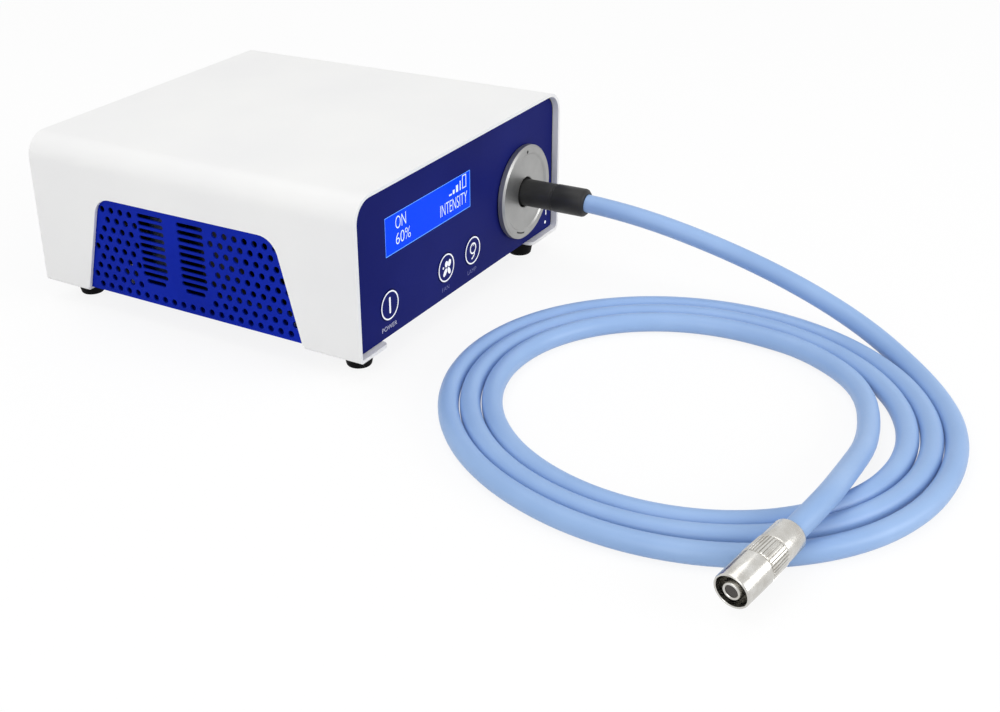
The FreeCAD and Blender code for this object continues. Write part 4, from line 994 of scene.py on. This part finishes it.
def lettering(name, text, left, foot, width, height, level_mm, finish, thinner=0.0):
    """Printed letters that fill a rectangle on the front, in millimetres."""
    font = bpy.data.curves.new(name, "FONT")
    font.body = text
    font.extrude = INK_GAUGE / 2 * MM
    font.offset = -thinner
    drawing = bpy.data.objects.new(name, font)
    bpy.context.scene.collection.objects.link(drawing)
    mesh = flattened(drawing)
    bpy.data.curves.remove(font)
    across = [v.co.x for v in mesh.vertices]
    upward = [v.co.y for v in mesh.vertices]
    size = (max(across) - min(across), max(upward) - min(upward))
    scale = (width * MM / size[0], height * MM / size[1], 1.0, 1.0)
    mesh.transform(Matrix.Translation((-min(across), -min(upward), 0)))
    mesh.transform(Matrix.Diagonal(scale))
    mesh.transform(Matrix.Translation(Vector((left, foot, 0)) * MM))
    mesh.transform(ON_FRONT.to_4x4())
    mesh.transform(Matrix.Translation(Vector((0, level_mm, 0)) * MM))
    return seat(piece_from(name, mesh, [finish]), "case")


def printed(name, loops, level_mm, finish, body="case"):
    """Printed shapes on the front."""
    return seat(plate(name, loops, INK_GAUGE, ON_FRONT, level_mm, [finish]), body)


def make_display_picture():
    """What the display shows: two lines of text and a rising row of bars."""
    level = WINDOW_FACE - PRINT_RISE
    left, head, window_width, window_height = -58.1, 61.35, 65.0, 16.5
    lines = [
        ("display_text_on", "ON", 7.6, 7.0, 7.6, 5.2),
        ("display_text_share", "60%", 7.6, 13.6, 10.7, 4.8),
        ("display_text_label", "INTENSITY", 41.0, 13.6, 21.4, 5.2),
    ]
    for name, text, start, drop, width, height in lines:
        place = (left + start, head - drop, width, height, level)
        lettering(name, text, *place, "lit_segment", 0.014)
    foot = head - 6.5
    filled = [(48.1, 2.0, 0.7), (51.0, 1.4, 1.8), (53.6, 1.6, 3.0), (56.6, 0.7, 4.1)]
    bars = [rectangle(left + start, foot, width, height) for start, width, height in filled]
    bars += outlined(left + 58.6, foot, 3.2, 5.8, pen=0.4)
    printed("display_bars", bars, level, "lit_segment")
    # Painted glint: a thin glowing line just inside the window's edge.
    edge = outlined(left, head - window_height, window_width, window_height, pen=0.28)
    printed("window_painted_glint", edge, WINDOW_FACE - LINE_RISE, "window_painted_glint")


def make_key_marks():
    """A white ring and a sign on each key, and a small word under it."""
    level = KEY_FACE - PRINT_RISE
    ring = [circle(0, 0, 6.2, 64), circle(0, 0, 5.6, 64)]
    upright = [(v, u) for u, v in capsule(0, 0, 7.2, 1.1, 8)]
    blades = [
        ellipse(0.0, 1.6, 1.4, 1.15, 80),
        ellipse(2.45, 1.45, 1.6, 1.15, 70),
        ellipse(-1.1, -1.9, 2.0, 1.05, 48),
        ellipse(2.0, -1.9, 1.8, 1.0, 118),
        circle(-2.5, 0.6, 0.55, 16),
    ]
    bulb = [
        circle(0.2, 0.9, 2.6, 32),
        circle(0.2, 0.9, 1.95, 32),
        stroke([(1.0, -1.4), (1.3, -2.0), (0.8, -2.7), (-0.2, -3.4), (-1.1, -3.7)], 0.65),
        stroke([(0.5, 2.7), (0.2, 1.9)], 0.45),
    ]
    signs = {"power": [upright], "fan": blades, "lamp": bulb}
    word_foot, word_height = 13.8, 1.9
    words = {
        "power": ("POWER", 10.6, "pale_ink"),
        "fan": ("FAN", 5.6, "faint_ink"),
        "lamp": ("LAMP", 7.2, "faint_ink"),
    }
    for key, x in KEYS.items():
        loops = [[(x + u, KEY_Z + v) for u, v in loop] for loop in ring + signs[key]]
        # The key marks' slight glow is painted light.
        printed(f"{key}_key_mark", loops, level, "white_print_painted_glow", f"{key}_button")
        word, width, ink = words[key]
        start = x - width / 2 - 0.4
        place = (start, word_foot, width, word_height, FRONT_FACE - PRINT_RISE)
        lettering(f"{key}_word", word, *place, ink, 0.015)


def make_side_marks():
    """Two small marks on the front beside the dial."""
    bar = [(v + 75.7, u + 19.6) for u, v in capsule(0, 0, 4.2, 0.7)]
    dot = circle(75.1, 14.1, 0.75)
    # The marks' slight glow is painted light.
    printed("dial_side_marks", [bar, dot], FRONT_FACE - PRINT_RISE, "white_print_painted_glow")


def make_panel_gap_shadow():
    """A thin black line of painted shadow between the front panel and the cover, over the top and
    both sides.
    """
    half_width, foot, head, bend, width = 80.7, 12.0, 75.2, 8.7, 0.5
    line = [(-half_width, foot)]
    line += arc(bend - half_width, head - bend, bend, 180, 90, 10)
    line += arc(half_width - bend, head - bend, bend, 90, 0, 10)
    line.append((half_width, foot))
    printed("panel_gap_painted_shadow", [stroke(line, width)], FRONT_FACE - LINE_RISE, "black_fill_and_painted_shadow")


def make_dial():
    """The brightness dial: a turned disc with a raised rim, a bright edge, a black index and a
    short arc of painted shadow.
    """
    outline = [
        (0.0, 6.9, 2), (0.0, 21.2, 2), (0.3, 21.5, 2), (2.4, 21.5, 1), (3.2, 20.6, 0),
        (3.2, 18.0, 1), (2.6, 17.2, 0), (2.6, 7.3, 0), (2.3, 6.9, 2), (0.0, 6.9),
    ]
    back, mark_level, mark_gauge = -83.8, -87.01, 0.06
    start = (PORT_X, back, PORT_Z)
    finishes = ["dial_face", "dial_rim", "dial_side"]
    disc = turned("dial_disc", outline, start, (0, -1, 0), finishes, 128)
    disc.data.set_sharp_from_angle(angle=math.radians(12))
    seat(disc, "dial", ("intensity_dial",))
    index = circle(PORT_X, PORT_Z + 18.9, 0.75, 24)
    # A painted shadow: a short black arc low on the rim, where the inner step lies in shade.
    painted_shade_arc = stroke(arc(PORT_X, PORT_Z, 18.6, -120, -98, 10), 0.7)
    for name, loop in (("dial_index", index), ("dial_foot_painted_shadow", painted_shade_arc)):
        mark = plate(name, [loop], mark_gauge, ON_FRONT, mark_level, ["black_fill_and_painted_shadow"])
        seat(mark, "dial")


def make_rocker_signs():
    """The line and the ring that say on and off on the mains switch."""
    # The key's rest tilt, its pivot, and how its two faces rise from the middle to the ends.
    tilt = math.radians(8)
    pivot = Vector((-50.0, 83.0, 57.5)) * MM
    face_lean, face_out, sign_drop = math.atan2(0.6, 5.4), 2.13, 2.6
    line = [(v, u + sign_drop) for u, v in capsule(0, 0, 3.0, 0.5)]
    ring = [circle(0, -sign_drop, 1.5), circle(0, -sign_drop, 1.0)]
    for name, loops, lean in (
        ("rocker_sign_on", [line], -face_lean),
        ("rocker_sign_off", ring, face_lean),
    ):
        mesh = plate_mesh(name, loops, INK_GAUGE)
        mesh.transform(ON_REAR.to_4x4())
        mesh.transform(Matrix.Rotation(lean, 4, "X"))
        mesh.transform(Matrix.Translation(Vector((0, face_out, 0)) * MM))
        mesh.transform(Matrix.Rotation(tilt, 4, "X"))
        mesh.transform(Matrix.Translation(pivot))
        seat(piece_from(name, mesh, ["white_ink"]), "rocker")


make_cover()
make_grilles()
make_feet()
make_display_picture()
make_key_marks()
make_side_marks()
make_panel_gap_shadow()
make_dial()
make_rocker_signs()


# ---------------------------------------------------------------- stage and light


def seen_directly(tree):
    """1 for what the eye, a mirror or clear glass sees, 0 for the light on the object."""
    path = add(tree, "LightPath").outputs
    settings = {"operation": "MAXIMUM"}
    first = add(tree, "Math", settings, {0: path["Is Camera Ray"], 1: path["Is Glossy Ray"]})
    inputs = {0: first.outputs[0], 1: path["Is Transmission Ray"]}
    return add(tree, "Math", settings, inputs).outputs[0]


def set_stage():
    """A plain pale floor that goes over into a white surround."""
    mesh = bpy.data.meshes.new("floor")
    reach = 6.0
    corners = [(-reach, -reach, 0), (reach, -reach, 0), (reach, reach, 0), (-reach, reach, 0)]
    mesh.from_pydata(corners, [], [(0, 1, 2, 3)])
    floor = bpy.data.objects.new("floor", mesh)
    bpy.context.scene.collection.objects.link(floor)
    # A hair under zero, so that the soles and the cable don't share its level.
    floor.location.z = -0.0002
    material = bpy.data.materials.new("white_paper_floor")
    material.use_nodes = True
    tree = material.node_tree
    tree.nodes.clear()
    # One paper throws pale light back on the object; the other is seen, and keeps its shadow.
    lights_object = add(tree, "BsdfDiffuse", None, {"Color": colour("E6E6E6")})
    shaded = add(tree, "BsdfDiffuse", None, {"Color": colour("666666")})
    glow = add(tree, "Emission", None, {"Strength": 0.87})
    seen = add(tree, "AddShader", None, {0: shaded.outputs[0], 1: glow.outputs[0]})
    inputs = {0: seen_directly(tree), 1: lights_object.outputs[0], 2: seen.outputs[0]}
    paper = add(tree, "MixShader", None, inputs)
    add(tree, "OutputMaterial", None, {"Surface": paper.outputs[0]})
    mesh.materials.append(material)

    world = bpy.data.worlds.new("white_surround")
    bpy.context.scene.world = world
    world.use_nodes = True
    tree = world.node_tree
    sky = 0.5
    settings = {"operation": "MULTIPLY_ADD"}
    strength = add(tree, "Math", settings, {0: seen_directly(tree), 1: 1 - sky, 2: sky})
    background = tree.nodes["Background"]
    background.inputs["Color"].default_value = (1, 1, 1, 1)
    tree.links.new(strength.outputs[0], background.inputs["Strength"])


def hang_lamp(name, place, target, size, power):
    """A soft box, aimed at a point."""
    data = bpy.data.lights.new(name, "AREA")
    data.shape = "RECTANGLE"
    data.size, data.size_y = size
    data.energy = power
    lamp = bpy.data.objects.new(name, data)
    bpy.context.scene.collection.objects.link(lamp)
    lamp.location = place
    lamp.rotation_mode = "QUATERNION"
    lamp.rotation_quaternion = (Vector(target) - Vector(place)).to_track_quat("-Z", "Y")


set_stage()
middle = (-0.03, -0.11, 0.03)
hang_lamp("top_box", (-0.15, 0.1, 1.5), middle, (1.6, 1.2), 7.6)
hang_lamp("left_box", (-1.5, -0.3, 0.7), middle, (0.9, 1.0), 6.8)
hang_lamp("front_box", (0.2, -1.6, 0.6), middle, (1.0, 0.7), 9.0)

bpy.context.scene.view_settings.view_transform = "Standard"
